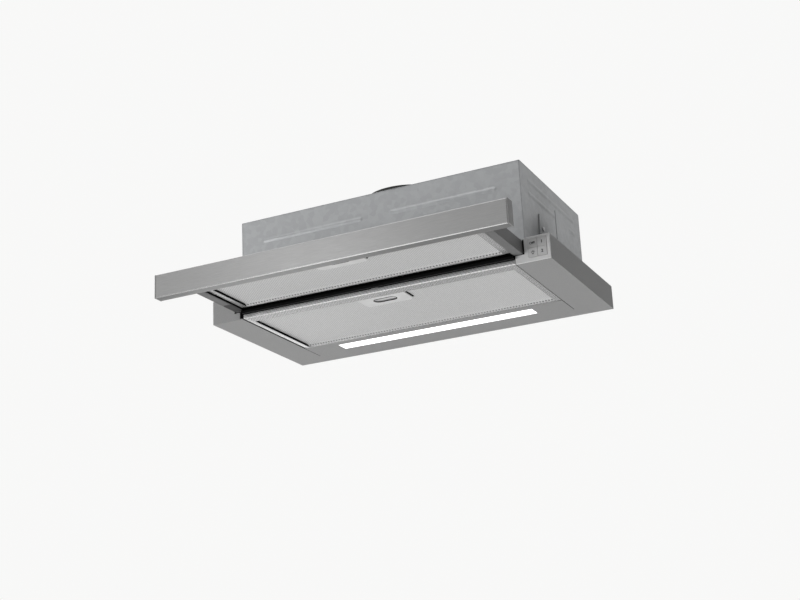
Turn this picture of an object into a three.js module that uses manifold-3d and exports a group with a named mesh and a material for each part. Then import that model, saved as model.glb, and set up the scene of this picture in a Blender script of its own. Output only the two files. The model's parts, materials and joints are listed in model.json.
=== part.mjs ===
// A 60 cm pull-out range hood, shown with its visor drawn out, as separate named pieces.
// Millimetres, +Z up, +X to the right seen from the front, +Y towards the back.
// Inside the hood group, Y = 0 is the front of the tray's cheeks and Z = 0 is its underside.
import * as THREE from "three";
import { mergeVertices } from "three/addons/utils/BufferGeometryUtils.js";
import Module from "manifold-3d";

const wasm = await Module();
wasm.setup();

// ---- driving dimensions ----
const hoodWidth = 598;
const bodyDepth = 300;
const trayHeight = 40;
const chassisTop = 178;
const visorTravel = 149;
const closedGap = 1; // left between the closed visor's panel and the cheeks
const panelHeight = 38.5;
const panelDepth = 18;
const foldRadius = 1.5; // outside radius of the panel's four folds
const lowerLip = 7; // the panel is open at the back between its two lips
const upperLip = 31;
const sheet = 1;
const gap = 0.3;
const seatPointY = 10; // the group's origin lies on the chassis lintel, here behind the front

// the tray and the opening for the rear filter
const halfWidth = hoodWidth / 2;
const slitInner = 241.2;
const slitOuter = 242.4;
const slitEnd = 264;
const bandFront = 206.5;
const cheekLip = 13.2; // height of the cheek's lower step, under the visor
const cheekInner = 257.3;
const leftLipInner = 247;
const webInner = 257.5;
const flangeTop = 38.7;

// the upper casing
const chassisHalf = 253;
const chassisFront = 20;
const chassisBack = 298;
const hangerFront = 3;
const hangerBottom = 16;
const seatHalf = 285;
const outletY = 150;
const outletHole = 72;
const glandX = -195;
const glandY = 250;
const glandHole = 9.3;
const angleFront = 30; // the angles between the tray and the casing
const angleBack = 285;
const bracketFront = 90; // the two side brackets
const bracketBack = 150;
const bracketBottom = 60;
const bracketTop = 110;
const bracketOuter = 281.7;
const bracketSheet = 1.5;

// the terminal box
const boxLeft = -240;
const boxRight = -150;
const boxFront = 215;
const boxBack = 292;
const boxBottom = 125;
const lidThickness = 2.2;

// the visor, drawn out
const visorBottom = 14;
const visorTop = 36;
const railInner = 240;
const railOuter = 254.5;
const railRear = 103;
const panelBack = -visorTravel - closedGap;
const panelFront = panelBack - panelDepth;
const railFront = panelBack + gap;
const coverHeight = 34;

// the telescopic slides
const slideBottom = 16.5;
const slideTop = 32.5;
const slideInnerX = 241.3;
const slideOuterX = 251.6;
const slideRear = 253;

// the filters
const filterThickness = 8;
const filterBorder = 10;
const borderSlope = 0.8; // the frame's borders rise by this much towards their outer edges
const edgeChamfer = 1.8;
const meshHeight = 4.1;
const rearFilterFront = 2;
const rearFilterHalf = 241;
const rearFilterDepth = 202.8;
const rearFilterBorder = 20;
const frontFilterFront = -149.4;
const frontFilterHalf = 237.5;
const frontFilterDepth = 139.8;
const frontFilterBorder = 11.5;
const frontFilterLift = 2; // its underside lies this much above the rails' undersides
const plateHalf = 41.5; // half the width of each filter's handle plate

// the lamp in the tray's rear band
const lampHalf = 182;
const lampFront = 222;
const lampBack = 249;

// the switch field on the right cheek
const buttonSize = 14.7;
const buttonPitch = 15.1;
const fieldX = 278.6;
const fieldZ = 21.2;
const fasciaDepth = 3;

// the blower, whose shaft lies along X
const shaftY = 112;
const shaftZ = 106;
const scrollHalf = 66;
const scrollStart = 50;
const scrollEnd = 62;
const cutoff = 13.8;
const inletRadius = 40;
const wheelRadius = 46;
const wheelHalf = 50;
const bladeCount = 30;
const motorRadius = 29;
const shaftRadius = 4;

// the outlet collar
const collarRadius = 75;
const collarTop = 208;
const flapHingeX = 5.5;
const flapZ = 188.5;
const flapRadius = 71.5;

// ---- finishes ----
function finish(color, metalness, roughness) {
  return new THREE.MeshStandardMaterial({ color, metalness, roughness });
}
const greyPaint = finish(0x8e8e90, 0.35, 0.5);
const panelSteel = finish(0x9a9a9b, 0.8, 0.4);
const zincSteel = finish(0xa9adb0, 0.9, 0.45);
const aluminium = finish(0xc4c5c7, 0.9, 0.35);
const greyPlastic = finish(0xa6a6a8, 0, 0.5);
const palePlastic = finish(0xcfd0d2, 0, 0.45);
const blackPlastic = finish(0x161617, 0, 0.5);
const whitePlastic = finish(0xe9e9e6, 0, 0.5);
const lampWhite = finish(0xffffff, 0, 0.3);
const boardGreen = finish(0x2f6a45, 0, 0.6);
const springSteel = finish(0xb9bcc0, 1, 0.3);

// ---- outlines, as lists of points ----
function rectangle(a0, a1, b0, b1) {
  return [[a0, b0], [a1, b0], [a1, b1], [a0, b1]];
}

function arc(centreA, centreB, radius, from, to, steps) {
  const points = [];
  for (let i = 0; i <= steps; i++) {
    const angle = THREE.MathUtils.degToRad(from + ((to - from) * i) / steps);
    points.push([centreA + radius * Math.cos(angle), centreB + radius * Math.sin(angle)]);
  }
  return points;
}

function circle(centreA, centreB, radius, sides = 48) {
  return arc(centreA, centreB, radius, 0, 360 - 360 / sides, sides - 1);
}

// A slot with round ends: its half length along the first axis and its radius.
function stadium(centreA, centreB, halfLength, radius) {
  const straight = halfLength - radius;
  return [
    ...arc(centreA + straight, centreB, radius, -90, 90, 8),
    ...arc(centreA - straight, centreB, radius, 90, 270, 8),
  ];
}

// ---- prisms of an outline along each axis ----
function prism(points, holes, from, to, basis) {
  const outline = new THREE.Shape(points.map((p) => new THREE.Vector2(p[0], p[1])));
  for (const hole of holes) {
    outline.holes.push(new THREE.Path(hole.map((p) => new THREE.Vector2(p[0], p[1]))));
  }
  const low = Math.min(from, to);
  const depth = Math.abs(to - from);
  const body = new THREE.ExtrudeGeometry(outline, { depth, bevelEnabled: false });
  return body.translate(0, 0, low).applyMatrix4(basis);
}

const axisX = new THREE.Vector3(1, 0, 0);
const axisY = new THREE.Vector3(0, 1, 0);
const axisZ = new THREE.Vector3(0, 0, 1);
const alongX = new THREE.Matrix4().makeBasis(axisY, axisZ, axisX);
const alongY = new THREE.Matrix4().makeBasis(axisZ, axisX, axisY);
const alongZ = new THREE.Matrix4();

// outline points are (y, z)
function prismX(points, x0, x1, holes = []) {
  return prism(points, holes, x0, x1, alongX);
}

// outline points are (x, z)
function prismY(points, y0, y1, holes = []) {
  const swap = (list) => list.map(([x, z]) => [z, x]).reverse();
  return prism(swap(points), holes.map(swap), y0, y1, alongY);
}

// outline points are (x, y)
function prismZ(points, z0, z1, holes = []) {
  return prism(points, holes, z0, z1, alongZ);
}

function block(x0, x1, y0, y1, z0, z1) {
  const box = new THREE.BoxGeometry(Math.abs(x1 - x0), Math.abs(y1 - y0), Math.abs(z1 - z0));
  return box.translate((x0 + x1) / 2, (y0 + y1) / 2, (z0 + z1) / 2);
}

// ---- joining and cutting closed meshes ----
function asSolid(piece) {
  if (!piece.isBufferGeometry) {
    return piece;
  }
  const bare = piece.clone();
  bare.deleteAttribute("normal");
  bare.deleteAttribute("uv");
  const welded = mergeVertices(bare, 1e-4);
  const vertProperties = welded.attributes.position.array;
  const triVerts = new Uint32Array(welded.index.array);
  return new wasm.Manifold(new wasm.Mesh({ numProp: 3, vertProperties, triVerts }));
}

function join(first, ...others) {
  return others.reduce((whole, piece) => whole.add(asSolid(piece)), asSolid(first));
}

function cut(base, ...tools) {
  return tools.reduce((rest, tool) => rest.subtract(asSolid(tool)), asSolid(base));
}

function addPart(group, name, piece, material) {
  const { vertProperties, triVerts } = asSolid(piece).getMesh();
  const geometry = new THREE.BufferGeometry();
  geometry.setAttribute("position", new THREE.BufferAttribute(vertProperties, 3));
  geometry.setIndex(new THREE.BufferAttribute(triVerts, 1));
  geometry.computeVertexNormals();
  const mesh = new THREE.Mesh(geometry, material);
  mesh.name = name;
  group.add(mesh);
}

// the two sides, seen from the front
const sides = [
  { word: "left", sign: -1 },
  { word: "right", sign: 1 },
];

// an outline of (x, z) points moved to the given side
function onSide(points, sign) {
  return points.map(([x, z]) => [sign * x, z]);
}

// ---- the lower tray: one sheet, with the filter opening open at the front ----
function baseTray() {
  const bottom = prismZ(
    [
      [-halfWidth, 0],
      [-slitOuter, 0],
      [-slitOuter, slitEnd],
      [-slitInner, slitEnd],
      [-slitInner, bandFront],
      [slitInner, bandFront],
      [slitInner, slitEnd],
      [slitOuter, slitEnd],
      [slitOuter, fasciaDepth + gap],
      [halfWidth, fasciaDepth + gap],
      [halfWidth, bodyDepth],
      [-halfWidth, bodyDepth],
    ],
    0,
    sheet,
    [rectangle(-lampHalf - 0.5, lampHalf + 0.5, lampFront - 0.5, lampBack + 0.5)],
  );
  const leftFace = prismY(
    [
      [-halfWidth, 0],
      [-leftLipInner, 0],
      [-leftLipInner, cheekLip],
      [-cheekInner, cheekLip],
      [-cheekInner, trayHeight],
      [-halfWidth, trayHeight],
    ],
    0,
    sheet,
  );
  const walls = [
    block(-halfWidth, -halfWidth + sheet, 0, bodyDepth, 0, trayHeight),
    block(halfWidth - sheet, halfWidth, fasciaDepth + gap, bodyDepth, 0, trayHeight),
    block(-halfWidth, halfWidth, bodyDepth - sheet, bodyDepth, 0, trayHeight),
  ];
  return join(bottom, leftFace, ...walls);
}

// An angle that stands on the tray beside the rail and carries the casing's seat flange.
function trayAngle(sign) {
  const wallX = sign * (halfWidth - sheet - gap);
  return join(
    block(sign * webInner, sign * (webInner + sheet), angleFront, angleBack, sheet + gap, flangeTop),
    block(sign * webInner, wallX, angleFront, angleBack, flangeTop - sheet, flangeTop),
  );
}

// ---- the upper casing: flanks and back with the seat flanges, a front with the lintel, and a top ----
const seatBottom = trayHeight - sheet;
const wallTop = chassisTop - sheet - gap;
const chassisInner = chassisHalf - sheet;

// The flanks reach down to carry the slides.
function chassis() {
  const shell = cut(
    block(-chassisHalf, chassisHalf, hangerFront, chassisBack, hangerBottom, wallTop),
    block(-chassisInner, chassisInner, 0, chassisBack - sheet, 0, chassisTop),
    block(-seatHalf, seatHalf, 0, chassisFront, trayHeight, chassisTop),
  );
  const flanges = sides.map(({ sign }) => {
    const middle = sign * (chassisHalf - sheet / 2);
    return block(middle, sign * seatHalf, chassisFront + 2, chassisBack - 1.5, seatBottom, trayHeight);
  });
  return join(shell, ...flanges);
}

function casingFront() {
  const half = chassisInner - gap;
  return join(
    block(-half, half, chassisFront, chassisFront + sheet, seatBottom, wallTop),
    block(-half, half, sheet + gap, chassisFront + sheet / 2, seatBottom, trayHeight),
  );
}

function casingTop() {
  const plate = rectangle(-chassisHalf, chassisHalf, chassisFront, chassisBack);
  return prismZ(plate, chassisTop - sheet, chassisTop, [
    circle(0, outletY, outletHole),
    circle(glandX, glandY, glandHole, 24),
  ]);
}

// A side bracket: a plate on the casing's flank, a foot outwards and a second plate at its end.
function sideBracket(sign) {
  const innerX = sign * (chassisHalf + gap);
  const outerX = sign * bracketOuter;
  const thick = sign * bracketSheet;
  const bend = bracketBottom + bracketSheet;
  return join(
    block(innerX, innerX + thick, bracketFront, bracketBack, bracketBottom, bracketTop),
    block(innerX, outerX, bracketFront, bracketBack, bracketBottom, bend),
    block(outerX - thick, outerX, bracketFront, bracketBack, bracketBottom, bracketTop),
  );
}

// ---- the black rail across the front of the filter opening ----
function sealRail() {
  const section = [
    [-5.2, 8.3],
    [8, 8.3],
    [8, 13.4],
    [-5, 13.4],
    [-6.6, 12.7],
    [-7, 11.4],
    [-6.6, 9.6],
  ];
  const bar = prismX(section, -slitInner, slitInner);
  const tabs = sides.map(({ sign }) => block(sign * 238, sign * (webInner - 0.5), 3.6, 14, 8.3, 11));
  const keeper = block(-14, 14, 1, 9, 8, 10.8);
  return cut(join(bar, ...tabs), keeper);
}

function endBlock(sign) {
  const front = sign < 0 ? sheet + gap : fasciaDepth + gap;
  return block(sign * (rearFilterHalf + 0.6), sign * (webInner - 0.5), front, 16, sheet + gap, 8);
}

// ---- the switch field ----
function controlFascia() {
  const windowHalf = (buttonPitch + buttonSize) / 2 + 0.35;
  const collarHalf = windowHalf + 1.2;
  const field = (half) => rectangle(fieldX - half, fieldX + half, fieldZ - half, fieldZ + half);
  const face = [
    [slitOuter, 0],
    [halfWidth, 0],
    [halfWidth, trayHeight],
    [cheekInner, trayHeight],
    [cheekInner, cheekLip],
    [slitOuter, cheekLip],
  ];
  return join(
    prismY(face, 0, fasciaDepth, [field(windowHalf)]),
    prismY(field(collarHalf), fasciaDepth - 0.5, 9, [field(windowHalf)]),
  );
}

function switchButton(x, z) {
  const half = buttonSize / 2;
  return join(
    block(x - half, x + half, -0.5, 4.5, z - half, z + half),
    block(x - 2.5, x + 2.5, 4, 7.3, z - 2.5, z + 2.5),
  );
}

function buttonCentres() {
  const reach = buttonPitch / 2;
  return [
    { word: "off", x: fieldX - reach, z: fieldZ + reach },
    { word: "speed_1", x: fieldX + reach, z: fieldZ + reach },
    { word: "lamp", x: fieldX - reach, z: fieldZ - reach },
    { word: "speed_2", x: fieldX + reach, z: fieldZ - reach },
  ];
}

function switchBoard() {
  const board = block(fieldX - 16, fieldX + 17.5, 10.4, 12, fieldZ - 17, fieldZ + 16);
  const keys = buttonCentres().flatMap(({ x, z }) => [
    block(x - 3, x + 3, 9.5, 10.9, z - 3, z + 3),
    prismY(circle(x, z, 1.7, 12), 9.1, 10),
  ]);
  return join(board, ...keys);
}

// ---- the lamp ----
function lampDiffuser() {
  return join(
    block(-lampHalf, lampHalf, lampFront, lampBack, 0.1, 2),
    block(-lampHalf - 4, lampHalf + 4, lampFront - 3, lampBack + 3, sheet + gap, 2.6),
  );
}

function lampHousing() {
  const wall = 1.2;
  const half = lampHalf + 5;
  return cut(
    block(-half, half, lampFront - 4, lampBack + 4, 2.9, 13),
    block(-half + wall, half - wall, lampFront - 4 + wall, lampBack + 4 - wall, 2, 13 - wall),
  );
}

function lampBoard() {
  const chips = [];
  for (let i = 0; i < 12; i++) {
    const x = -lampHalf + 14 + (i * 2 * (lampHalf - 14)) / 11;
    chips.push(block(x - 1.5, x + 1.5, 234, 237, 9.2, 10.2));
  }
  return join(block(-lampHalf + 4, lampHalf - 4, 229, 242, 10, 11.4), ...chips);
}

// ---- the filters, each about its own front edge: x across, y back, z up from the underside ----
function filterFrame(half, depth, border) {
  const wall = 1.2;
  const lipTop = 3.7;
  const channelFloor = 2;
  const above = filterThickness + 1;
  const inner = half - filterBorder;
  const tongues = sides.map(({ sign }) => block(sign * 150, sign * 180, depth - 0.5, depth + 8, 1.3, 2.3));
  const ring = cut(
    block(-half, half, 0, depth, 0, filterThickness),
    block(-inner, inner, border, depth - 2, -1, above),
    block(-half + wall, half - wall, border, depth - 0.8, lipTop, above),
    block(-half + wall, half - wall, wall, border - wall, channelFloor, above),
    ...sides.map(({ sign }) => {
      const wedge = [[inner, 0], [half, -1], [half + 1, -1], [half + 1, borderSlope], [half, borderSlope]];
      return prismY(onSide(sign > 0 ? wedge : wedge.reverse(), sign), -1, depth + 1);
    }),
    prismX([[border, 0], [0, borderSlope], [-1, borderSlope], [-1, -1], [0, -1]], -half - 1, half + 1),
    prismX([[-1, edgeChamfer + 1], [-1, -1], [edgeChamfer + 1, -1]], -half - 1, half + 1),
  );
  return join(ring, ...tongues);
}

function filterCore(half, depth, border) {
  return cut(
    block(-half + 1.5, half - 1.5, border + gap, depth - 1.1, meshHeight, 7.6),
    block(-7, 7, border - 1, border + 19, 0, 10),
  );
}

// The plate that slides back to free the catch, with its finger pocket, riser and tongue.
function filterHandle(border, tongueTip) {
  const plateBottom = 0.9;
  const plateTop = 2.7;
  const plateFront = border + 1;
  const plateBack = border + 43;
  const corner = 9;
  const pocketY = border + 20.4;
  const plate = prismZ(
    [
      [-plateHalf, plateFront],
      [plateHalf, plateFront],
      ...arc(plateHalf - corner, plateBack - corner, corner, 0, 90, 6),
      ...arc(-plateHalf + corner, plateBack - corner, corner, 90, 180, 6),
    ],
    plateBottom,
    plateTop,
  );
  const cup = prismZ(stadium(0, pocketY, 22, 10.3), plateTop - 0.5, 3.8);
  const pocket = prismZ(stadium(0, pocketY, 20.5, 9), 0, 3);
  const riser = block(-6, 6, border + 2.5, border + 4, plateBottom, 10);
  const tongue = block(-6, 6, tongueTip, border + 4, 8.6, 10);
  return join(cut(join(plate, cup), pocket), riser, tongue);
}

// The dark guide that the plate slides on. It shows as a narrow strip beside the plate's right end.
function filterGuide(border) {
  const left = -plateHalf + 0.5;
  const right = plateHalf + 2;
  const inner = plateHalf - 10.5;
  const front = border + 7;
  const back = border + 37;
  const outline = [
    [left, front],
    [-inner, front],
    [-inner, back - 1],
    [inner, back - 1],
    [inner, front],
    [right, front],
    [right, back],
    [left, back],
  ];
  return prismZ(outline, 3, 3.8);
}

// A helix along Y between two ends, drawn as a tube with closed ends.
class Helix extends THREE.Curve {
  constructor(radius, turns, start, end, height) {
    super();
    this.shape = { radius, turns, start, end, height };
  }
  getPoint(t, target = new THREE.Vector3()) {
    const { radius, turns, start, end, height } = this.shape;
    const angle = 2 * Math.PI * turns * t;
    const y = start + (end - start) * t;
    return target.set(radius * Math.cos(angle), y, height + radius * Math.sin(angle));
  }
}

function filterSpring(border) {
  const wire = 0.35;
  const turns = 6;
  const path = new Helix(1.3, turns, border + 4.3 + wire, border + 18.7 - wire, 5.9);
  const section = new THREE.Shape(circle(0, 0, wire, 6).map((p) => new THREE.Vector2(p[0], p[1])));
  return new THREE.ExtrudeGeometry(section, { steps: turns * 9, extrudePath: path, bevelEnabled: false });
}

function addFilter(parent, word, { x, y, z, half, depth, border, tongueTip }) {
  const group = new THREE.Group();
  group.position.set(x, y, z);
  parent.add(group);
  addPart(group, `${word}_filter_frame`, filterFrame(half, depth, border), aluminium);
  addPart(group, `${word}_filter_core`, filterCore(half, depth, border), aluminium);
  addPart(group, `${word}_filter_guide`, filterGuide(border), blackPlastic);
  addPart(group, `${word}_filter_handle`, filterHandle(border, tongueTip), palePlastic);
  addPart(group, `${word}_filter_spring`, filterSpring(border), springSteel);
}

// ---- the telescopic slides: three nested channels on each side ----
function slideChannel(outerX, innerX, bottom, top, sign) {
  // the web stands at outerX, and the lips reach to innerX
  const turn = Math.sign(innerX - outerX);
  const section = [
    [innerX, bottom],
    [outerX, bottom],
    [outerX, top],
    [innerX, top],
    [innerX, top - sheet],
    [outerX + turn * sheet, top - sheet],
    [outerX + turn * sheet, bottom + sheet],
    [innerX, bottom + sheet],
  ];
  return onSide(section, sign);
}

function addSlides(body, visor) {
  const step = sheet + gap;
  const lipEnd = 243.8;
  const innerLip = slideOuterX - 2 * step;
  for (const { word, sign } of sides) {
    const fixed = slideChannel(slideOuterX, lipEnd, slideBottom, slideTop, sign);
    const middle = slideChannel(slideOuterX - step, lipEnd, slideBottom + step, slideTop - step, sign);
    const inner = slideChannel(slideInnerX, innerLip, slideBottom + 2 * step, slideTop - 2 * step, sign);
    addPart(body, `slide_fixed_${word}`, prismY(fixed, 3, slideRear), zincSteel);
    addPart(visor, `slide_middle_${word}`, prismY(middle, -50, 175), zincSteel);
    addPart(visor, `slide_inner_${word}`, prismY(inner, -147, 98), zincSteel);
  }
}

// ---- the visor ----
function visorRail(sign) {
  const section = [
    [railInner, visorBottom],
    [railOuter, visorBottom],
    [railOuter, visorTop],
    [railOuter - sheet, visorTop],
    [railOuter - sheet, visorBottom + sheet],
    [railInner + sheet, visorBottom + sheet],
    [railInner + sheet, coverHeight - 0.5],
    [railInner, coverHeight - 0.5],
  ];
  const tabTop = coverHeight - 0.5;
  const tab = block(sign * railInner, sign * railOuter, railFront, railFront + sheet, visorBottom, tabTop);
  return join(prismY(onSide(section, sign), railFront, railRear), tab);
}

function visorCover() {
  const half = railInner + sheet;
  return join(
    block(-half, half, railFront, 20, coverHeight, coverHeight + sheet),
    block(-half + 2, half - 2, railFront, railFront + sheet, 31, coverHeight + 0.5),
  );
}

function visorRearBeam() {
  const half = railInner - gap;
  const bottom = visorBottom + frontFilterLift;
  const section = [
    [-8, bottom],
    [4, bottom],
    [4, bottom + 5],
    [3, bottom + 5],
    [3, bottom + sheet],
    [-8, bottom + sheet],
  ];
  return prismX(section, -half, half);
}

function panelStiffener() {
  const front = panelFront + sheet + gap;
  const back = panelBack - 0.5;
  const outer = rectangle(front, back, 16, 30.5);
  const inner = rectangle(front + sheet, back - sheet, 16 + sheet, 30.5 - sheet);
  const keeperBack = back + 4.5; // over the front filter's tongue
  const keeperBottom = visorBottom + frontFilterLift + 10.6;
  return join(
    prismX(outer, -280, 280, [inner]),
    block(-9, 9, back - 0.5, keeperBack, keeperBottom, keeperBottom + 1.4),
    block(-9, -7, back - 0.5, keeperBack, keeperBottom - 2, keeperBottom + 0.5),
    block(7, 9, back - 0.5, keeperBack, keeperBottom - 2, keeperBottom + 0.5),
  );
}

function frontPanel() {
  const r = foldRadius;
  const section = [
    ...arc(panelFront + r, r, r, 180, 270, 5),
    ...arc(panelBack - r, r, r, 270, 360, 5),
    [panelBack, lowerLip],
    [panelBack - sheet, lowerLip],
    [panelBack - sheet, sheet],
    [panelFront + sheet, sheet],
    [panelFront + sheet, panelHeight - sheet],
    [panelBack - sheet, panelHeight - sheet],
    [panelBack - sheet, upperLip],
    [panelBack, upperLip],
    ...arc(panelBack - r, panelHeight - r, r, 0, 90, 5),
    ...arc(panelFront + r, panelHeight - r, r, 90, 180, 5),
  ];
  return prismX(section, -296.5, 296.5);
}

function panelCap(sign) {
  return join(
    block(sign * 296.8, sign * halfWidth, panelFront, panelBack, 0, panelHeight),
    block(sign * 284, sign * 297, panelFront + 1.5, panelBack - 1.5, 1.5, panelHeight - 1.5),
  );
}

// ---- the blower: a spiral casing in two halves, round a wheel on the motor's shaft ----
// The spiral runs from the cut-off over the front and under, and leaves upwards at the back.
function scrollOutline(grow, top) {
  const points = [];
  const steps = 40;
  const first = -THREE.MathUtils.radToDeg(Math.asin((cutoff - grow) / (scrollStart + grow)));
  for (let i = 0; i <= steps; i++) {
    const turn = first + ((270 - first) * i) / steps;
    const radius = grow + scrollStart + ((scrollEnd - scrollStart) * Math.max(turn, 0)) / 270;
    const angle = THREE.MathUtils.degToRad(turn);
    points.push([shaftY - radius * Math.sin(angle), shaftZ + radius * Math.cos(angle)]);
  }
  points.push([shaftY + scrollEnd + grow, top]);
  points.push([shaftY + cutoff - grow, top]);
  return points;
}

function scrollHalfShell(sign) {
  const wall = 2;
  const top = wallTop;
  const split = sign * 0.15;
  const side = sign * scrollHalf;
  const inside = side - sign * wall;
  const shell = join(
    prismX(scrollOutline(wall, top), split, side),
    block(split, sign * 80, outletY - 76, outletY + 76, top - wall, top),
  );
  const bell = prismX(circle(shaftY, shaftZ, inletRadius + wall), side - sign * 8, side, [
    circle(shaftY, shaftZ, inletRadius),
  ]);
  const hollow = prismX(scrollOutline(0, top + 5), split - sign, inside);
  const inlet = prismX(circle(shaftY, shaftZ, inletRadius), inside - sign, side + sign);
  return join(cut(shell, hollow, inlet), bell);
}

function fanWheel() {
  const ringInner = wheelRadius - 9.5;
  const disc = prismX(circle(shaftY, shaftZ, wheelRadius), -1, 1);
  const hub = prismX(circle(shaftY, shaftZ, 9, 24), -12, 11);
  const rings = sides.map(({ sign }) =>
    prismX(circle(shaftY, shaftZ, wheelRadius), sign * (wheelHalf - 2), sign * wheelHalf, [
      circle(shaftY, shaftZ, ringInner),
    ]),
  );
  const blades = [];
  for (let i = 0; i < bladeCount; i++) {
    const start = (i * 360) / bladeCount;
    const at = (radius, degrees) => arc(shaftY, shaftZ, radius, start + degrees, start + degrees, 1)[0];
    const section = [
      at(ringInner + 0.3, 0),
      at(ringInner + 4.5, 1.6),
      at(wheelRadius - 0.4, 7),
      at(wheelRadius - 0.4, 8.8),
      at(ringInner + 4.2, 3.6),
      at(ringInner + 0.3, 2.2),
    ];
    blades.push(prismX(section, -wheelHalf + 1, wheelHalf - 1));
  }
  const bore = prismX(circle(shaftY, shaftZ, shaftRadius + gap, 16), -20, 20);
  return cut(join(disc, hub, ...rings, ...blades), bore);
}

function motor() {
  const body = prismX(circle(shaftY, shaftZ, motorRadius, 32), 13, 78);
  const cap = prismX(circle(shaftY, shaftZ, 24, 32), 77, 84);
  const bore = prismX(circle(shaftY, shaftZ, shaftRadius + gap, 16), 12, 30);
  return cut(join(body, cap), bore);
}

function motorShaft() {
  return prismX(circle(shaftY, shaftZ, shaftRadius, 16), -16, 28);
}

function motorBracket() {
  const inner = circle(shaftY, shaftZ, motorRadius + gap, 32);
  const outer = circle(shaftY, shaftZ, motorRadius + 6, 32);
  const ring = prismX(outer, scrollHalf + gap, scrollHalf + 4, [inner]);
  const arms = [30, 150, 270].map((degrees) => {
    const arm = prismX(rectangle(motorRadius + 3, 54, -5, 5), scrollHalf + gap, scrollHalf + 3);
    arm.rotateX(THREE.MathUtils.degToRad(degrees));
    return arm.translate(0, shaftY, shaftZ);
  });
  return join(ring, ...arms);
}

// ---- the outlet collar and its two flaps ----
function collarFlange() {
  const bore = circle(0, outletY, collarRadius + gap, 64);
  return prismZ(circle(0, outletY, 90, 64), chassisTop + gap, chassisTop + gap + 2, [bore]);
}

function outletCollar() {
  const bore = circle(0, outletY, collarRadius - 2, 64);
  const pinHoles = sides.map(({ sign }) =>
    prismY(circle(sign * flapHingeX, flapZ, 1.6, 12), outletY - 80, outletY + 80),
  );
  const spineReach = collarRadius - 1.5;
  return cut(
    join(
      prismZ(circle(0, outletY, collarRadius, 64), chassisTop + gap, collarTop, [bore]),
      block(-2, 2, outletY - spineReach, outletY + spineReach, 187, 190),
    ),
    ...pinHoles,
  );
}

function damperFlap(sign) {
  const edge = 4;
  const reach = THREE.MathUtils.radToDeg(Math.acos(edge / flapRadius));
  const half = arc(0, outletY, flapRadius, -reach, reach, 28);
  return join(
    prismZ(onSide(half, sign), flapZ - 0.75, flapZ + 0.75),
    prismY(circle(sign * flapHingeX, flapZ, 2, 12), outletY - 62, outletY + 62),
    prismY(circle(sign * flapHingeX, flapZ, 1.2, 12), outletY - 74.2, outletY + 74.2),
  );
}

// ---- the wiring box, the cord's gland, the capacitor and the visor's switch ----
function terminalBox() {
  const wall = 1.5;
  const top = chassisTop - sheet - 0.5;
  return cut(
    block(boxLeft, boxRight, boxFront, boxBack, boxBottom, top),
    block(boxLeft + wall, boxRight - wall, boxFront + wall, boxBack - wall, boxBottom - 5, top - wall),
    prismZ(circle(glandX, glandY, glandHole, 24), top - 5, top + 5),
  );
}

function terminalLid() {
  const top = boxBottom - gap;
  return block(boxLeft, boxRight, boxFront, boxBack, top - lidThickness, top);
}

function cableGland() {
  return cut(
    join(
      prismZ(circle(glandX, glandY, 9, 24), 166, 190),
      prismZ(circle(glandX, glandY, 12, 6), 169, 174.5),
      prismZ(circle(glandX, glandY, 13.5, 6), chassisTop + gap, 185),
      prismZ(circle(glandX, glandY, 7.5, 24), 189, 196),
    ),
    prismZ(circle(glandX, glandY, 4.5, 16), 160, 200),
  );
}

function capacitor() {
  return join(
    prismZ(circle(150, 278, 14, 24), 70, 116),
    block(140, 160, 280, chassisBack - sheet - gap, 84, 92),
  );
}

function visorSwitch() {
  const wallX = -chassisHalf + sheet + gap;
  return join(
    block(wallX, wallX + 6.4, 256, 276, 18, 28),
    block(wallX + 2, wallX + 4.4, slideRear + 0.6, 257, 21.5, 24),
  );
}

// ---- the assembly ----
const hood = new THREE.Group();
hood.position.set(0, -seatPointY, -trayHeight);
const body = new THREE.Group();
const visor = new THREE.Group();
const blower = new THREE.Group();
const lamp = new THREE.Group();
const controls = new THREE.Group();
hood.add(body, visor, blower, lamp, controls);

addPart(body, "base_tray", baseTray(), greyPaint);
addPart(body, "chassis", chassis(), zincSteel);
addPart(body, "casing_front", casingFront(), zincSteel);
addPart(body, "casing_top", casingTop(), zincSteel);
addPart(body, "seal_rail", sealRail(), blackPlastic);
for (const { word, sign } of sides) {
  addPart(body, `end_block_${word}`, endBlock(sign), blackPlastic);
  addPart(body, `side_bracket_${word}`, sideBracket(sign), zincSteel);
  addPart(body, `tray_angle_${word}`, trayAngle(sign), zincSteel);
}
addPart(body, "collar_flange", collarFlange(), blackPlastic);
addPart(body, "outlet_collar", outletCollar(), blackPlastic);
addPart(body, "damper_flap_left", damperFlap(-1), blackPlastic);
addPart(body, "damper_flap_right", damperFlap(1), blackPlastic);
addPart(body, "terminal_box", terminalBox(), whitePlastic);
addPart(body, "terminal_lid", terminalLid(), whitePlastic);
addPart(body, "cable_gland", cableGland(), blackPlastic);
addPart(body, "capacitor", capacitor(), whitePlastic);
addPart(body, "visor_switch", visorSwitch(), blackPlastic);
addFilter(body, "rear", {
  x: 0,
  y: rearFilterFront,
  z: 0,
  half: rearFilterHalf,
  depth: rearFilterDepth,
  border: rearFilterBorder,
  tongueTip: 1.5,
});

addPart(controls, "control_fascia", controlFascia(), greyPlastic);
for (const { word, x, z } of buttonCentres()) {
  addPart(controls, `button_${word}`, switchButton(x, z), greyPlastic);
}
addPart(controls, "switch_board", switchBoard(), boardGreen);

addPart(lamp, "lamp_diffuser", lampDiffuser(), lampWhite);
addPart(lamp, "lamp_housing", lampHousing(), whitePlastic);
addPart(lamp, "lamp_board", lampBoard(), boardGreen);

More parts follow.
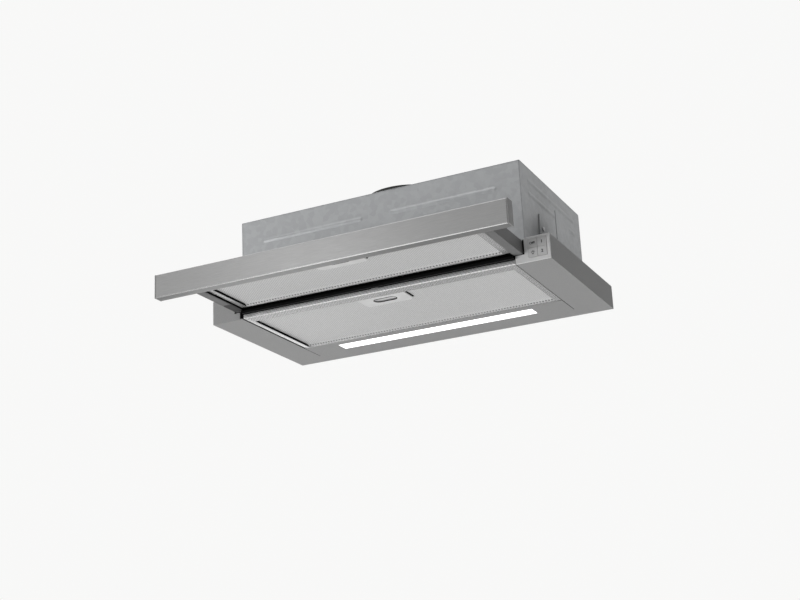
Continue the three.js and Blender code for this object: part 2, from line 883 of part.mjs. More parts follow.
addPart(blower, "scroll_left", scrollHalfShell(-1), blackPlastic);
addPart(blower, "scroll_right", scrollHalfShell(1), blackPlastic);
addPart(blower, "fan_wheel", fanWheel(), blackPlastic);
addPart(blower, "motor_shaft", motorShaft(), springSteel);
addPart(blower, "motor", motor(), zincSteel);
addPart(blower, "motor_bracket", motorBracket(), zincSteel);

addSlides(body, visor);
for (const { word, sign } of sides) {
  addPart(visor, `visor_rail_${word}`, visorRail(sign), greyPaint);
  addPart(visor, `panel_cap_${word}`, panelCap(sign), greyPlastic);
}
addPart(visor, "visor_cover", visorCover(), zincSteel);
addPart(visor, "visor_rear_beam", visorRearBeam(), greyPaint);
addPart(visor, "panel_stiffener", panelStiffener(), zincSteel);
addPart(visor, "front_panel", frontPanel(), panelSteel);
addFilter(visor, "front", {
  x: 0,
  y: frontFilterFront,
  z: visorBottom + frontFilterLift,
  half: frontFilterHalf,
  depth: frontFilterDepth,
  border: frontFilterBorder,
  tongueTip: 0.3,
});

export default hood;
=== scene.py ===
# %% [markdown]
# # A pull-out range hood
#
# A slim range hood, seen from below. Its visor is drawn out on slides, so a second grease filter lies in
# front of the first. It is made of grey sheet metal, and from below it shows two perforated filters, a
# black rail between them, a lamp bar and four press switches.
#
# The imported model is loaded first. Its nodes already have the right shapes and places, so this script gives
# them their finish and adds what is too fine for the solids: perforations, printed marks, screws and beads.

# %% Load the fixed frame and keep its box
import json
import math

import bmesh
import bpy
from mathutils import Matrix, Vector


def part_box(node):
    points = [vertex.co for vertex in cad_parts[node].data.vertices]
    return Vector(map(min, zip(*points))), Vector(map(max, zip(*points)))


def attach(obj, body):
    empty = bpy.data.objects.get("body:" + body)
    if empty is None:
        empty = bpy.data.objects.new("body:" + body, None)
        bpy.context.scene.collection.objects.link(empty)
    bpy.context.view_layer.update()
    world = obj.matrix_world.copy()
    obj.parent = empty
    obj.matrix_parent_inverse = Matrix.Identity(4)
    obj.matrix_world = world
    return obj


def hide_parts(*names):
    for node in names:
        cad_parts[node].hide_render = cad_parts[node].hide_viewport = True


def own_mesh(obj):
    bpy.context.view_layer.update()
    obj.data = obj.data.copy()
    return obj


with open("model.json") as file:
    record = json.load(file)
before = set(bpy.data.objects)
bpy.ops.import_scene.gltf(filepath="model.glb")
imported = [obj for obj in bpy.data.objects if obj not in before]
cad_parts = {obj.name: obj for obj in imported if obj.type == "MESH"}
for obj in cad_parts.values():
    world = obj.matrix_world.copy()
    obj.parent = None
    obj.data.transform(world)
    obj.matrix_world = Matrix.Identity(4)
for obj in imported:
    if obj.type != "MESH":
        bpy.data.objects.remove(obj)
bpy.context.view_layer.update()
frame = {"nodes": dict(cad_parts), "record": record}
nodes = frame["nodes"]

# %% [markdown]
# Lengths below are in millimetres, as on a maker's drawing: x from the middle to the right, y back from the
# front of the tray's cheeks, z up from the tray's underside. One function turns them into the metres of the
# frame, so that no piece needs fitting by eye. Others read the extent and the centre of a node.

# %% Places in millimetres
MM = 0.001
TRAY_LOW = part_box("base_tray")[0]
DRAWING_ORIGIN = Vector((0, TRAY_LOW.y, TRAY_LOW.z))


def at(x, y, z):
    return DRAWING_ORIGIN + Vector((x, y, z)) * MM


def extent(node):
    """A node's lowest and highest corners in the drawing's millimetres."""
    return [(corner - DRAWING_ORIGIN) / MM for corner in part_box(node)]


def centre_of(node):
    low, high = extent(node)
    return (low + high) / 2


tray_low, tray_high = extent("base_tray")
panel_low, panel_high = extent("front_panel")
print("tray", [round(v) for v in tray_high - tray_low], "panel front at y", round(panel_low.y, 1))

# %% [markdown]
# ## The camera
#
# The photograph was taken from below and to the right of the hood, with a long lens, and the camera was
# rolled a little. Its place and its three turns were worked out from the hood's straight edges. A camera
# looks along its own -Z axis, so its matrix is built from three directions: right, up and backwards.

# %% Camera
PHOTO_WIDTH = 800
FOCAL_PIXELS = 1457.66
SENSOR_WIDTH = 36
YAW = math.radians(25.14)
PITCH = math.radians(18.27)
ROLL = math.radians(-2.78)
CAMERA_PLACE = at(965.29, -1959.2, -734.73)


def put_in_scene(thing):
    bpy.context.scene.collection.objects.link(thing)
    return thing


forward = Vector((-math.sin(YAW) * math.cos(PITCH), math.cos(YAW) * math.cos(PITCH), math.sin(PITCH)))
level_right = Vector((math.cos(YAW), math.sin(YAW), 0))
level_up = level_right.cross(forward)
right = level_right * math.cos(ROLL) + level_up * math.sin(ROLL)
up = level_up * math.cos(ROLL) - level_right * math.sin(ROLL)

camera_data = bpy.data.cameras.new("camera")
camera_data.sensor_width = SENSOR_WIDTH
camera_data.lens = SENSOR_WIDTH * FOCAL_PIXELS / PHOTO_WIDTH
camera_data.clip_start = 0.05
camera_data.clip_end = 60
camera = put_in_scene(bpy.data.objects.new("camera", camera_data))
turn = Matrix((right, up, -forward)).transposed().to_4x4()
camera.matrix_world = Matrix.Translation(CAMERA_PLACE) @ turn
bpy.context.scene.camera = camera
bpy.context.scene.view_settings.view_transform = "Standard"
print("lens in mm:", round(camera_data.lens, 2))

# %% [markdown]
# ## Node trees
#
# The world and every material are trees of nodes. Clicking them together by hand would give the same, but a
# script can be read again. One helper adds a node and fills its inputs: a number or a colour is written on
# the input, and another node's output is linked to it. A second one starts a material from the Principled
# shader.

# %% Helpers for node trees
def add_node(tree, kind, inputs=None, **settings):
    """A new node. An input takes a value, or the output of another node."""
    node = tree.nodes.new(kind)
    for name, value in settings.items():
        setattr(node, name, value)
    for name, value in (inputs or {}).items():
        if isinstance(value, bpy.types.NodeSocket):
            tree.links.new(value, node.inputs[name])
        else:
            node.inputs[name].default_value = value
    return node


def shader_of(material):
    return material.node_tree.nodes["Principled BSDF"]


def new_material(name, colour, metallic, roughness, specular=0.5):
    material = bpy.data.materials.new(name)
    material.use_nodes = True
    shader = shader_of(material)
    shader.inputs["Base Color"].default_value = (*colour, 1)
    shader.inputs["Metallic"].default_value = metallic
    shader.inputs["Roughness"].default_value = roughness
    shader.inputs["Specular IOR Level"].default_value = specular
    return material


# %% [markdown]
# ## The world
#
# The stage is a plain studio: a pale world and a pale floor. The world is seen as almost white, but it
# lights the object more softly than that. A Light Path node keeps the two apart: rays from the camera, from
# gloss and through glass see the pale backdrop, and all other rays see the light.

# %% World
BACKDROP = (0.94, 0.94, 0.935)
SKY_LIGHT = 0.16


def brightness_seen(tree, by_camera, in_gloss):
    """One value for camera rays, another for rays in gloss and through glass, and 0 for all others."""
    path = add_node(tree, "ShaderNodeLightPath")
    brightest = 0
    for word, value in (("Camera", by_camera), ("Glossy", in_gloss), ("Transmission", in_gloss)):
        share_inputs = {0: path.outputs[f"Is {word} Ray"], 1: value}
        share = add_node(tree, "ShaderNodeMath", share_inputs, operation="MULTIPLY")
        either = add_node(tree, "ShaderNodeMath", {0: brightest, 1: share.outputs[0]}, operation="MAXIMUM")
        brightest = either.outputs[0]
    return brightest


world = bpy.data.worlds.new("studio")
world.use_nodes = True
tree = world.node_tree
light = tree.nodes["Background"]
light.inputs["Color"].default_value = (1, 1, 1, 1)
light.inputs["Strength"].default_value = SKY_LIGHT
backdrop = add_node(tree, "ShaderNodeBackground", {"Color": (*BACKDROP, 1)})
seen_or_lit = {0: brightness_seen(tree, 1, 1), 1: light.outputs[0], 2: backdrop.outputs[0]}
mix = add_node(tree, "ShaderNodeMixShader", seen_or_lit)
tree.links.new(mix.outputs[0], tree.nodes["World Output"].inputs["Surface"])
bpy.context.scene.world = world
print("world:", world.name, "light", SKY_LIGHT)

# %% [markdown]
# ## The floor
#
# The floor lies well below the hood, as a wide sheet of pale paper. It glows a little for the rays that see
# it, in the same way as the world, and it keeps the object's shadow. From below it isn't drawn at all,
# because the hood hangs high and is mostly looked at from underneath: its shader turns clear on its back
# face.

# %% Floor
FLOOR_Z = -1.45
FLOOR_HALF = 30
FLOOR_SEEN = 0.66
FLOOR_IN_GLOSS = 0.22
PAPER = (0.82, 0.82, 0.815)


def floor_paper():
    paper = new_material("studio_paper", PAPER, 0, 0.9, 0)
    tree = paper.node_tree
    shader = shader_of(paper)
    shader.inputs["Emission Color"].default_value = (*BACKDROP, 1)
    tree.links.new(brightness_seen(tree, FLOOR_SEEN, FLOOR_IN_GLOSS), shader.inputs["Emission Strength"])
    side = add_node(tree, "ShaderNodeNewGeometry")
    clear = add_node(tree, "ShaderNodeBsdfTransparent")
    front_or_back = {0: side.outputs["Backfacing"], 1: shader.outputs[0], 2: clear.outputs[0]}
    one_sided = add_node(tree, "ShaderNodeMixShader", front_or_back)
    tree.links.new(one_sided.outputs[0], tree.nodes["Material Output"].inputs["Surface"])
    return paper


sheet = bpy.data.meshes.new("floor")
corners = [(x * FLOOR_HALF, y * FLOOR_HALF, FLOOR_Z) for x, y in ((-1, -1), (1, -1), (1, 1), (-1, 1))]
sheet.from_pydata(corners, [], [(0, 1, 2, 3)])
sheet.materials.append(floor_paper())
floor = put_in_scene(bpy.data.objects.new("floor", sheet))
print("floor at z in metres:", FLOOR_Z)

# %% [markdown]
# ## The light
#
# The light falls mostly from the left, which is why the ends that face right are the darkest faces of the
# hood. Large area lamps give soft shades, where a sun would draw hard edges. Each one is a square that
# looks at the hood's middle. The small lamps below, low behind and in front of the panel are there for the
# metal, which shows what it mirrors: they draw the pale undersides on the left and the bright folds.

# %% Lamps
HOOD_MIDDLE = at(0, 60, 30)
LAMPS = (  # name, place in metres, side in metres, watts
    ("key", (-1.8, -2.0, -0.7), 1.3, 40),
    ("from_below", (-0.4, -0.45, -1.35), 0.9, 4.5),
    ("below_right", (0.8, 0.4, -1.35), 1.2, 13.5),
    ("low_behind", (-1.2, 1.75, -0.38), 0.55, 1.5),
    ("panel_glow", (-0.7, -1.46, 0.46), 0.35, 0.8),
    ("from_above", (-0.6, -0.4, 2.4), 2.0, 30),
    ("rear_fill", (-1.6, 2.6, 1.2), 2.0, 26),
)
for name, place, side, watts in LAMPS:
    lamp_data = bpy.data.lights.new(name, "AREA")
    lamp_data.size = side
    lamp_data.energy = watts
    lamp = bpy.data.objects.new(name, lamp_data)
    lamp.location = place
    lamp.rotation_mode = "QUATERNION"
    lamp.rotation_quaternion = (HOOD_MIDDLE - lamp.location).to_track_quat("-Z", "Y")
    put_in_scene(lamp)
print("lamps:", [light.name for light in bpy.data.lights])

# %% [markdown]
# ## Materials
#
# Every finish starts from the same shader, and a few helpers feed it with patterns. A pattern reads the
# place on the object in metres, so a scale of 1000 makes it about a millimetre wide, and it stays on the
# piece when the piece moves. A stretched noise is what brushing looks like: long along the strokes and fine
# across them.

# %% Helpers for patterns
PATTERN_LOW = 0.3
PATTERN_HIGH = 0.7


def pattern(material, kind, scale, stretch=(1, 1, 1), output="Fac", **settings):
    """The output of a texture about 1 / scale metres wide. A small stretch draws it out along that axis."""
    tree = material.node_tree
    place = add_node(tree, "ShaderNodeTexCoord").outputs["Object"]
    mapped = add_node(tree, "ShaderNodeMapping", {"Vector": place, "Scale": stretch}).outputs["Vector"]
    return add_node(tree, kind, {"Vector": mapped, "Scale": scale}, **settings).outputs[output]


def noise(material, scale, stretch=(1, 1, 1)):
    return pattern(material, "ShaderNodeTexNoise", scale, stretch)


def cells(material, scale):
    return pattern(material, "ShaderNodeTexVoronoi", scale, output="Color")


def roughen(material, value, low, high):
    """Lets the roughness vary from low to high, by a pattern."""
    span = {"From Min": PATTERN_LOW, "From Max": PATTERN_HIGH, "To Min": low, "To Max": high}
    varied = add_node(material.node_tree, "ShaderNodeMapRange", {"Value": value, **span})
    material.node_tree.links.new(varied.outputs["Result"], shader_of(material).inputs["Roughness"])


def tint(material, value, dark, light):
    """Colours the surface from dark to light, by a pattern."""
    ramp = add_node(material.node_tree, "ShaderNodeValToRGB", {"Fac": value})
    for i, (position, colour) in enumerate(((PATTERN_LOW, dark), (PATTERN_HIGH, light))):
        ramp.color_ramp.elements[i].position = position
        ramp.color_ramp.elements[i].color = (*colour, 1)
    material.node_tree.links.new(ramp.outputs["Color"], shader_of(material).inputs["Base Color"])


def bump(material, value, depth_mm, strength):
    """Raises the surface by a pattern."""
    relief_inputs = {"Height": value, "Strength": strength, "Distance": depth_mm * MM}
    relief = add_node(material.node_tree, "ShaderNodeBump", relief_inputs)
    material.node_tree.links.new(relief.outputs["Normal"], shader_of(material).inputs["Normal"])


def grey(value, warmth=0.0):
    return (value * (1 + warmth), value, value * (1 - warmth))


# %% [markdown]
# ### Sheet metal
#
# The tray and the visor's rails are steel sheet with a silver-grey powder paint: nearly matt, with fine
# flakes and the faint waviness that a sprayed film has. The front panel is brushed lengthwise. The hidden
# casing is zinc-coated sheet, whose crystals make soft patches of lighter and darker grey. Pictures of such
# metals could be laid on, but patterns made by nodes have no seams and no fixed size.

# %% Painted, brushed and zinc-coated steel
def silver_paint(name, value):
    material = new_material(name, grey(value), 0.0, 0.5, 0.06)
    tint(material, cells(material, 2600), grey(value * 0.95), grey(value * 1.08))
    roughen(material, noise(material, 900), 0.44, 0.54)
    bump(material, noise(material, 320), 0.02, 0.3)
    return material


def brushed_panel():
    material = new_material("brushed_panel", grey(0.27), 0.85, 0.32, 0.4)
    strokes = noise(material, 2600, stretch=(0.02, 1, 1))
    tint(material, strokes, grey(0.25), grey(0.29))
    roughen(material, noise(material, 1300, stretch=(0.03, 1, 1)), 0.28, 0.36)
    bump(material, strokes, 0.008, 0.25)
    return material


def zinc_sheet():
    material = new_material("zinc_coated_sheet", grey(0.36), 0.5, 0.5, 0.4)
    tint(material, cells(material, 120), (0.345, 0.352, 0.36), (0.375, 0.382, 0.39))
    roughen(material, noise(material, 500), 0.44, 0.56)
    bump(material, noise(material, 1500), 0.01, 0.25)
    return material


paint = silver_paint("silver_grey_paint", 0.29)
# The rails' darker copy of the paint is painted shade, for the shadow they lie in behind the panel.
rail_paint_painted_shade = silver_paint("painted_shade_silver_paint", 0.17)
panel_steel = brushed_panel()
zinc = zinc_sheet()
print("sheet metals:", paint.name, rail_paint_painted_shade.name, panel_steel.name, zinc.name)

# %% [markdown]
# ### Aluminium and bright steel
#
# The filters are aluminium. Their frames are rolled with a fine diagonal hatch, which a wave texture draws
# as even bands, in colour and as a bump. The perforated sheet is paler and satin, and the wool of strands
# inside is dark and rough. Springs and screws are bright steel.

# %% Aluminium and bright steel
HATCH_SCALE = 100


def hatched_aluminium():
    material = new_material("hatched_aluminium", grey(0.45), 0.55, 0.26, 0.25)
    hatch = pattern(material, "ShaderNodeTexWave", HATCH_SCALE, bands_direction="DIAGONAL")
    tint(material, hatch, grey(0.41), grey(0.5))
    roughen(material, noise(material, 1600), 0.22, 0.3)
    bump(material, hatch, 0.05, 0.4)
    return material


def perforated_aluminium(name, value):
    material = new_material(name, grey(value), 0.04, 0.5, 0.06)
    tint(material, noise(material, 260), grey(value * 0.97), grey(value * 1.04))
    roughen(material, noise(material, 1800), 0.38, 0.48)
    bump(material, noise(material, 700), 0.01, 0.3)
    return material


def filter_wool():
    material = new_material("filter_inner_layers", grey(0.3), 0.4, 0.55)
    strands = noise(material, 1500, stretch=(1, 0.5, 1))
    tint(material, strands, grey(0.22), grey(0.4))
    bump(material, strands, 0.3, 0.6)
    return material


def bright_steel():
    material = new_material("bright_steel", grey(0.5), 0.9, 0.3)
    tint(material, noise(material, 800), grey(0.46), grey(0.56))
    roughen(material, noise(material, 2000), 0.25, 0.38)
    bump(material, noise(material, 2600), 0.005, 0.3)
    return material


aluminium = hatched_aluminium()
mesh_aluminium = perforated_aluminium("perforated_aluminium", 0.6)
strip_aluminium = perforated_aluminium("bent_edge_aluminium", 0.56)
inner_layers = filter_wool()
steel = bright_steel()
print("filter metals:", aluminium.name, mesh_aluminium.name, strip_aluminium.name, steel.name)

# %% [markdown]
# ### Plastics, the lamp and the circuit boards
#
# Moulded plastic has a very fine spark-eroded grain, so one function makes all of it, from a grey and a
# roughness. The lamp's diffuser glows by itself: it takes an emission a little over white, with a faint
# noise, which looks more even than a lamp placed behind it. The circuit boards are hidden, and green like
# most.

# %% Plastics, diffuser and circuit board
def moulded_plastic(name, value, roughness, warmth=0.0, specular=0.4):
    material = new_material(name, grey(value, warmth), 0.0, roughness, specular)
    tint(material, noise(material, 60), grey(value * 0.96, warmth), grey(value * 1.04, warmth))
    roughen(material, noise(material, 2400), roughness - 0.05, roughness + 0.06)
    bump(material, noise(material, 3200), 0.01, 0.35)
    return material


def lit_diffuser():
    material = new_material("lit_diffuser", grey(0.9), 0.0, 0.4)
    glow_inputs = {"Value": noise(material, 40), "To Min": 1.15, "To Max": 1.3}
    glow = add_node(material.node_tree, "ShaderNodeMapRange", glow_inputs)
    shader = shader_of(material)
    shader.inputs["Emission Color"].default_value = (1, 1, 1, 1)
    material.node_tree.links.new(glow.outputs["Result"], shader.inputs["Emission Strength"])
    bump(material, noise(material, 2000), 0.01, 0.2)
    return material


def circuit_board():
    material = new_material("circuit_board", (0.05, 0.2, 0.1), 0.0, 0.4)
    tracks = cells(material, 420)
    tint(material, tracks, (0.03, 0.14, 0.07), (0.07, 0.26, 0.13))
    bump(material, tracks, 0.03, 0.3)
    return material


grey_plastic = moulded_plastic("silver_grey_plastic", 0.55, 0.48, specular=0.2)
fascia_plastic = moulded_plastic("fascia_plastic", 0.68, 0.48, specular=0.2)
cap_plastic = moulded_plastic("cap_plastic", 0.3, 0.5, specular=0.12)
pale_plastic = moulded_plastic("pale_grey_plastic", 0.64, 0.45, specular=0.1)
black_plastic = moulded_plastic("black_plastic", 0.012, 0.45, specular=0.3)
dark_plastic = moulded_plastic("dark_grey_plastic", 0.06, 0.5, specular=0.15)
black_rubber = moulded_plastic("black_rubber", 0.005, 0.55, specular=0.004)
white_plastic = moulded_plastic("white_plastic", 0.7, 0.45, warmth=0.01)
diffuser_light = lit_diffuser()
board = circuit_board()
print("materials:", len(bpy.data.materials))

# %% [markdown]
# ## Finishes for the nodes
#
# Each node of the frame keeps its shape and takes a finish by the slot that the record gives it. A few
# nodes have a variant of it: the cores are folded layers, the visor's rails have a darker grey than the
# tray, which is painted shade, and the black rail across the opening, its end blocks and the visor's rear
# beam behind it are dull like rubber. The beam's black is painted shade behind the rail.

# %% Give each node its finish
FINISHES = {
    "grey_paint": paint,
    "panel_steel": panel_steel,
    "zinc_steel": zinc,
    "aluminium": aluminium,
    "grey_plastic": grey_plastic,
    "pale_plastic": pale_plastic,
    "black_plastic": black_plastic,
    "white_plastic": white_plastic,
    "lamp_white": diffuser_light,
    "board_green": board,
    "spring_steel": steel,
}
SPECIAL_FINISHES = {
    "control_fascia": fascia_plastic,
    "seal_rail": black_rubber,
    # The rear beam's black is painted shade: it darkens the band behind the black rail, where shade falls.
    "visor_rear_beam": black_rubber,
}
for word in ("left", "right"):
    SPECIAL_FINISHES[f"panel_cap_{word}"] = cap_plastic
    SPECIAL_FINISHES[f"visor_rail_{word}"] = rail_paint_painted_shade
    SPECIAL_FINISHES[f"end_block_{word}"] = black_rubber
for word in ("front", "rear"):
    SPECIAL_FINISHES[f"{word}_filter_core"] = inner_layers
    SPECIAL_FINISHES[f"{word}_filter_guide"] = black_rubber
slot_of = {row["node"]: row["material_slot"] for row in frame["record"]["subparts"]}
for name, node in nodes.items():
    node.data.materials.clear()
    node.data.materials.append(SPECIAL_FINISHES.get(name, FINISHES[slot_of[name]]))
print("finished nodes:", len(nodes), "of them special:", len(SPECIAL_FINISHES))

# %% [markdown]
# ## Smooth shading
#
# The collar, the motor and the gland are round, though their solids have flat facets. Smooth shading makes
# them look round, but it would smear the light over the corners of a box. So a small node group shades
# everything smooth except edges that turn sharply, and a second modifier, Weighted Normal, keeps large flat
# faces flat.

# %% Smooth by angle
SHARP_TURN = math.radians(36)


def smooth_group():
    group = bpy.data.node_groups.new("smooth_by_angle", "GeometryNodeTree")
    for way in ("INPUT", "OUTPUT"):
        group.interface.new_socket("Geometry", in_out=way, socket_type="NodeSocketGeometry")
    start = add_node(group, "NodeGroupInput").outputs[0]
    end = add_node(group, "NodeGroupOutput")
    turned = add_node(group, "GeometryNodeInputMeshEdgeAngle").outputs["Unsigned Angle"]
    too_sharp = {"data_type": "FLOAT", "operation": "GREATER_THAN"}
    sharp = add_node(group, "FunctionNodeCompare", {0: turned, 1: SHARP_TURN}, **too_sharp).outputs[0]
    faces = add_node(group, "GeometryNodeSetShadeSmooth", {"Geometry": start}, domain="FACE").outputs[0]
    edge_inputs = {"Geometry": faces, "Selection": sharp, "Shade Smooth": False}
    edges = add_node(group, "GeometryNodeSetShadeSmooth", edge_inputs, domain="EDGE").outputs[0]
    group.links.new(edges, end.inputs[0])
    return group


SMOOTH = smooth_group()


def smooth_by_angle(piece):
    smooth = piece.modifiers.new("smooth_by_angle", "NODES")
    smooth.node_group = SMOOTH
    weighted = piece.modifiers.new("weighted_normals", "WEIGHTED_NORMAL")
    weighted.keep_sharp = True


print("edges stay sharp from", round(math.degrees(SHARP_TURN)), "degrees")

# %% [markdown]
# ## Soft edges
#
# Real edges are never perfectly sharp. A folded sheet has a small radius and a moulding a larger one, and
# that is where the light catches. Modifiers round them without touching the mesh: Weld joins the corners,
# and Bevel rounds the edges between faces that meet at a clear angle.

# %% Soften the edges
WELD_DISTANCE = 0.02
BEVEL_ANGLE = math.radians(40)
BEVEL_STEPS = 2
ROUNDED = {  # radius in millimetres, and the nodes that have it
    0.3: ("front_filter_handle", "rear_filter_handle", "front_filter_frame", "rear_filter_frame",
          "chassis", "casing_front", "casing_top"),
    0.35: ("base_tray", "visor_rail_left", "visor_rail_right",
           "button_off", "button_lamp", "button_speed_1", "button_speed_2"),
    0.4: ("seal_rail",),
    0.5: ("control_fascia", "terminal_box", "terminal_lid"),
    0.6: ("panel_cap_left", "panel_cap_right"),
}
edge_radius = {name: radius for radius, names in ROUNDED.items() for name in names}
for name, node in nodes.items():
    weld = node.modifiers.new("weld", "WELD")
    weld.merge_threshold = WELD_DISTANCE * MM
    if name in edge_radius:
        bevel = node.modifiers.new("round_edges", "BEVEL")
        bevel.width = edge_radius[name] * MM
        bevel.segments = BEVEL_STEPS
        bevel.limit_method = "ANGLE"
        bevel.angle_limit = BEVEL_ANGLE
    smooth_by_angle(node)
print("softened:", len(edge_radius))

# %% [markdown]
# ## Tools for new pieces
#
# Everything that is added is built as a mesh in the drawing's millimetres. One function turns a finished
# mesh into a piece that rides on its body. Others make the shapes that come back most often: a prism of an
# outline, the same prism on the left and on the right, and a shape turned about an axis.

# %% Helpers for pieces and prisms
def add_piece(name, mesh, material, body):
    """Turns a bmesh, in the drawing's millimetres, into a smooth-shaded piece that rides on a body."""
    bmesh.ops.recalc_face_normals(mesh, faces=mesh.faces)
    for vertex in mesh.verts:
        vertex.co = at(*vertex.co)
    data = bpy.data.meshes.new(name)
    mesh.to_mesh(data)
    mesh.free()
    data.materials.append(material)
    piece = put_in_scene(bpy.data.objects.new(name, data))
    smooth_by_angle(piece)
    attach(piece, body)
    print(name, "faces:", len(data.polygons))
    return piece


def join_rings(mesh, first, second):
    """The faces between two closed rings with the same number of points."""
    for i in range(len(first)):
        j = (i + 1) % len(first)
        mesh.faces.new((first[i], first[j], second[j], second[i]))


def add_prism(mesh, outline, axis, start, end):
    """A closed prism. The outline's points go across the axis: (y, z) for x, (x, z) for y, (x, y) for z."""
    def point(a, b, c):
        return {"x": (c, a, b), "y": (a, c, b), "z": (a, b, c)}[axis]

    low = [mesh.verts.new(point(a, b, start)) for a, b in outline]
    high = [mesh.verts.new(point(a, b, end)) for a, b in outline]
    mesh.faces.new(low)
    mesh.faces.new(high)
    join_rings(mesh, low, high)


def rectangle(left, bottom, right, top):
    return [(left, bottom), (right, bottom), (right, top), (left, top)]


def mirrored(outline, sign):
    return [(sign * a, b) for a, b in outline]


def add_pair(mesh, outline, start, end):
    """The same prism along y on the left and on the right."""
    for sign in (-1, 1):
        add_prism(mesh, mirrored(outline, sign), "y", start, end)


# %% [markdown]
# A turned shape is what a lathe makes: a profile of (radius, height) points, swept about an axis. A point
# with no radius lies on the axis, where the faces close to triangles. A slot's outline is two half circles.

# %% Helpers for round shapes
UP = (0, 0, 1)
DOWN = (0, 0, -1)
BACK = (0, 1, 0)
FRONT = (0, -1, 0)
RIGHT = (1, 0, 0)


def add_turned(mesh, profile, centre, direction, steps=16):
    """A shape turned about a line from the centre: the profile's points are (radius, distance along it)."""
    along = Vector(direction).normalized()
    side = along.orthogonal().normalized()
    other = along.cross(side)
    rings = []
    for radius, distance in profile:
        middle = Vector(centre) + along * distance
        if radius == 0:
            rings.append([mesh.verts.new(middle)] * steps)
            continue
        ring = []
        for k in range(steps):
            angle = 2 * math.pi * k / steps
            ring.append(mesh.verts.new(middle + (side * math.cos(angle) + other * math.sin(angle)) * radius))
        rings.append(ring)
    for inner, outer in zip(rings, rings[1:]):
        for k in range(steps):
            j = (k + 1) % steps
            corners = []
            for vertex in (inner[k], inner[j], outer[j], outer[k]):
                if vertex not in corners:
                    corners.append(vertex)
            mesh.faces.new(corners)


def stadium(centre_x, centre_y, half_length, radius, steps=10):
    """The outline of a slot with round ends, along x."""
    straight = half_length - radius
    points = []
    for side in (1, -1):
        for k in range(steps + 1):
            angle = side * math.pi / 2 * (2 * k / steps - 1)
            turned = angle if side > 0 else math.pi - angle
            x = centre_x + side * straight + radius * math.cos(turned)
            points.append((x, centre_y + radius * math.sin(turned)))
    return points


# %% [markdown]
# ## The perforated sheets
#
# Each grease filter shows a sheet of aluminium with thousands of small staggered holes, and darker layers
# behind it. The holes could be painted on, but real holes catch light on their rims and show depth from the
# side. The sheet is a net of diamonds with an eight-sided hole in each. Diamonds meet without gaps, and
# they give the diagonal rows that the light draws on the real sheet. At the middle of the front edge the
# sheet has a slot, hidden behind the handle's plate, in which the catch slides.

# %% A net of diamonds with holes
HALF_PITCH = 2.5
HOLE_RADIUS = 0.85
HOLE_SIDES = 8
SLOT_HALF = 6
SLOT_DEPTH = 9.5
BORDER_TOLERANCE = 0.1


def add_holed_face(mesh, outline, centre, radius, height, sides=HOLE_SIDES):
    """A face with a hole in it. The outline's four corners go round it from the right."""
    rim = []
    for k in range(sides):
        angle = 2 * math.pi * k / sides
        x = centre[0] + radius * math.cos(angle)
        y = centre[1] + radius * math.sin(angle)
        rim.append(mesh.verts.new((x, y, height(y))))
    corners = [mesh.verts.new((x, y, height(y))) for x, y in outline]
    share = sides // len(corners)
    for i, corner in enumerate(corners):
        bow = [rim[(i * share + k) % sides] for k in range(share + 1)]
        mesh.faces.new((corner, *bow, corners[(i + 1) % len(corners)]))


def holds(low, value, high):
    return low - BORDER_TOLERANCE <= value <= high + BORDER_TOLERANCE


def add_diamonds(mesh, low, high, z, half_pitch=HALF_PITCH, radius=HOLE_RADIUS, sides=HOLE_SIDES):
    """The staggered holes between two corners (x, y), with plain triangles along the border."""
    columns = int((high.x - low.x) / half_pitch / 2) * 2
    rows = int((high.y - low.y) / half_pitch / 2) * 2
    step_x = (high.x - low.x) / columns
    step_y = (high.y - low.y) / rows
    for row in range(rows + 1):
        for column in range(row % 2, columns + 1, 2):
            x = low.x + column * step_x
            y = low.y + row * step_y
            if abs(x) < SLOT_HALF + half_pitch and y < low.y + SLOT_DEPTH + half_pitch:
                continue
            reach = ((step_x, 0), (0, step_y), (-step_x, 0), (0, -step_y))
            outline = [(x + dx, y + dy) for dx, dy in reach]
            inside = [(a, b) for a, b in outline if holds(low.x, a, high.x) and holds(low.y, b, high.y)]
            if len(inside) == 4:
                add_holed_face(mesh, outline, (x, y), radius, lambda _: z, sides)
            else:
                if len(inside) == 2:
                    inside.append((x, y))
                mesh.faces.new([mesh.verts.new((px, py, z)) for px, py in inside])


print("a hole is", 2 * HOLE_RADIUS, "wide, and the rows lie", round(HALF_PITCH * math.sqrt(2), 2), "apart")

# %% [markdown]
# Each sheet lies a hair below the core of its filter, and leaves room at the back for the strip that is
# bent down. Neighbouring diamonds are made with corners of their own, which are then joined.

# %% The perforated sheets
FRONT_BORDER = {"front": 11.5, "rear": 20}  # the filters, and the width of each frame's front border
SHEET_GAP = 0.1
SHEET_MARGIN = 0.3
BEND_WIDTH = 6.0
BEND_SETBACK = 0.2
JOIN_DISTANCE = 0.02


def add_sheet(name, mesh, material, word):
    bmesh.ops.remove_doubles(mesh, verts=mesh.verts, dist=JOIN_DISTANCE)
    add_piece(f"{word}_filter_{name}", mesh, material, f"{word}_filter")


def inset(corner, amount):
    return Vector((corner.x + amount, corner.y + amount))


for word in FRONT_BORDER:
    low, high = extent(f"{word}_filter_core")
    back_corner = Vector((high.x - SHEET_MARGIN, high.y - BEND_SETBACK - BEND_WIDTH))
    mesh = bmesh.new()
    add_diamonds(mesh, inset(low, SHEET_MARGIN), back_corner, low.z - SHEET_GAP)
    add_sheet("mesh", mesh, mesh_aluminium, word)

# %% [markdown]
# The upper side of a filter is covered by expanded metal: one sheet, slit and stretched into large
# diamonds. It shows when a filter is turned down. The same function makes it, with a wider pitch and
# four-sided holes.

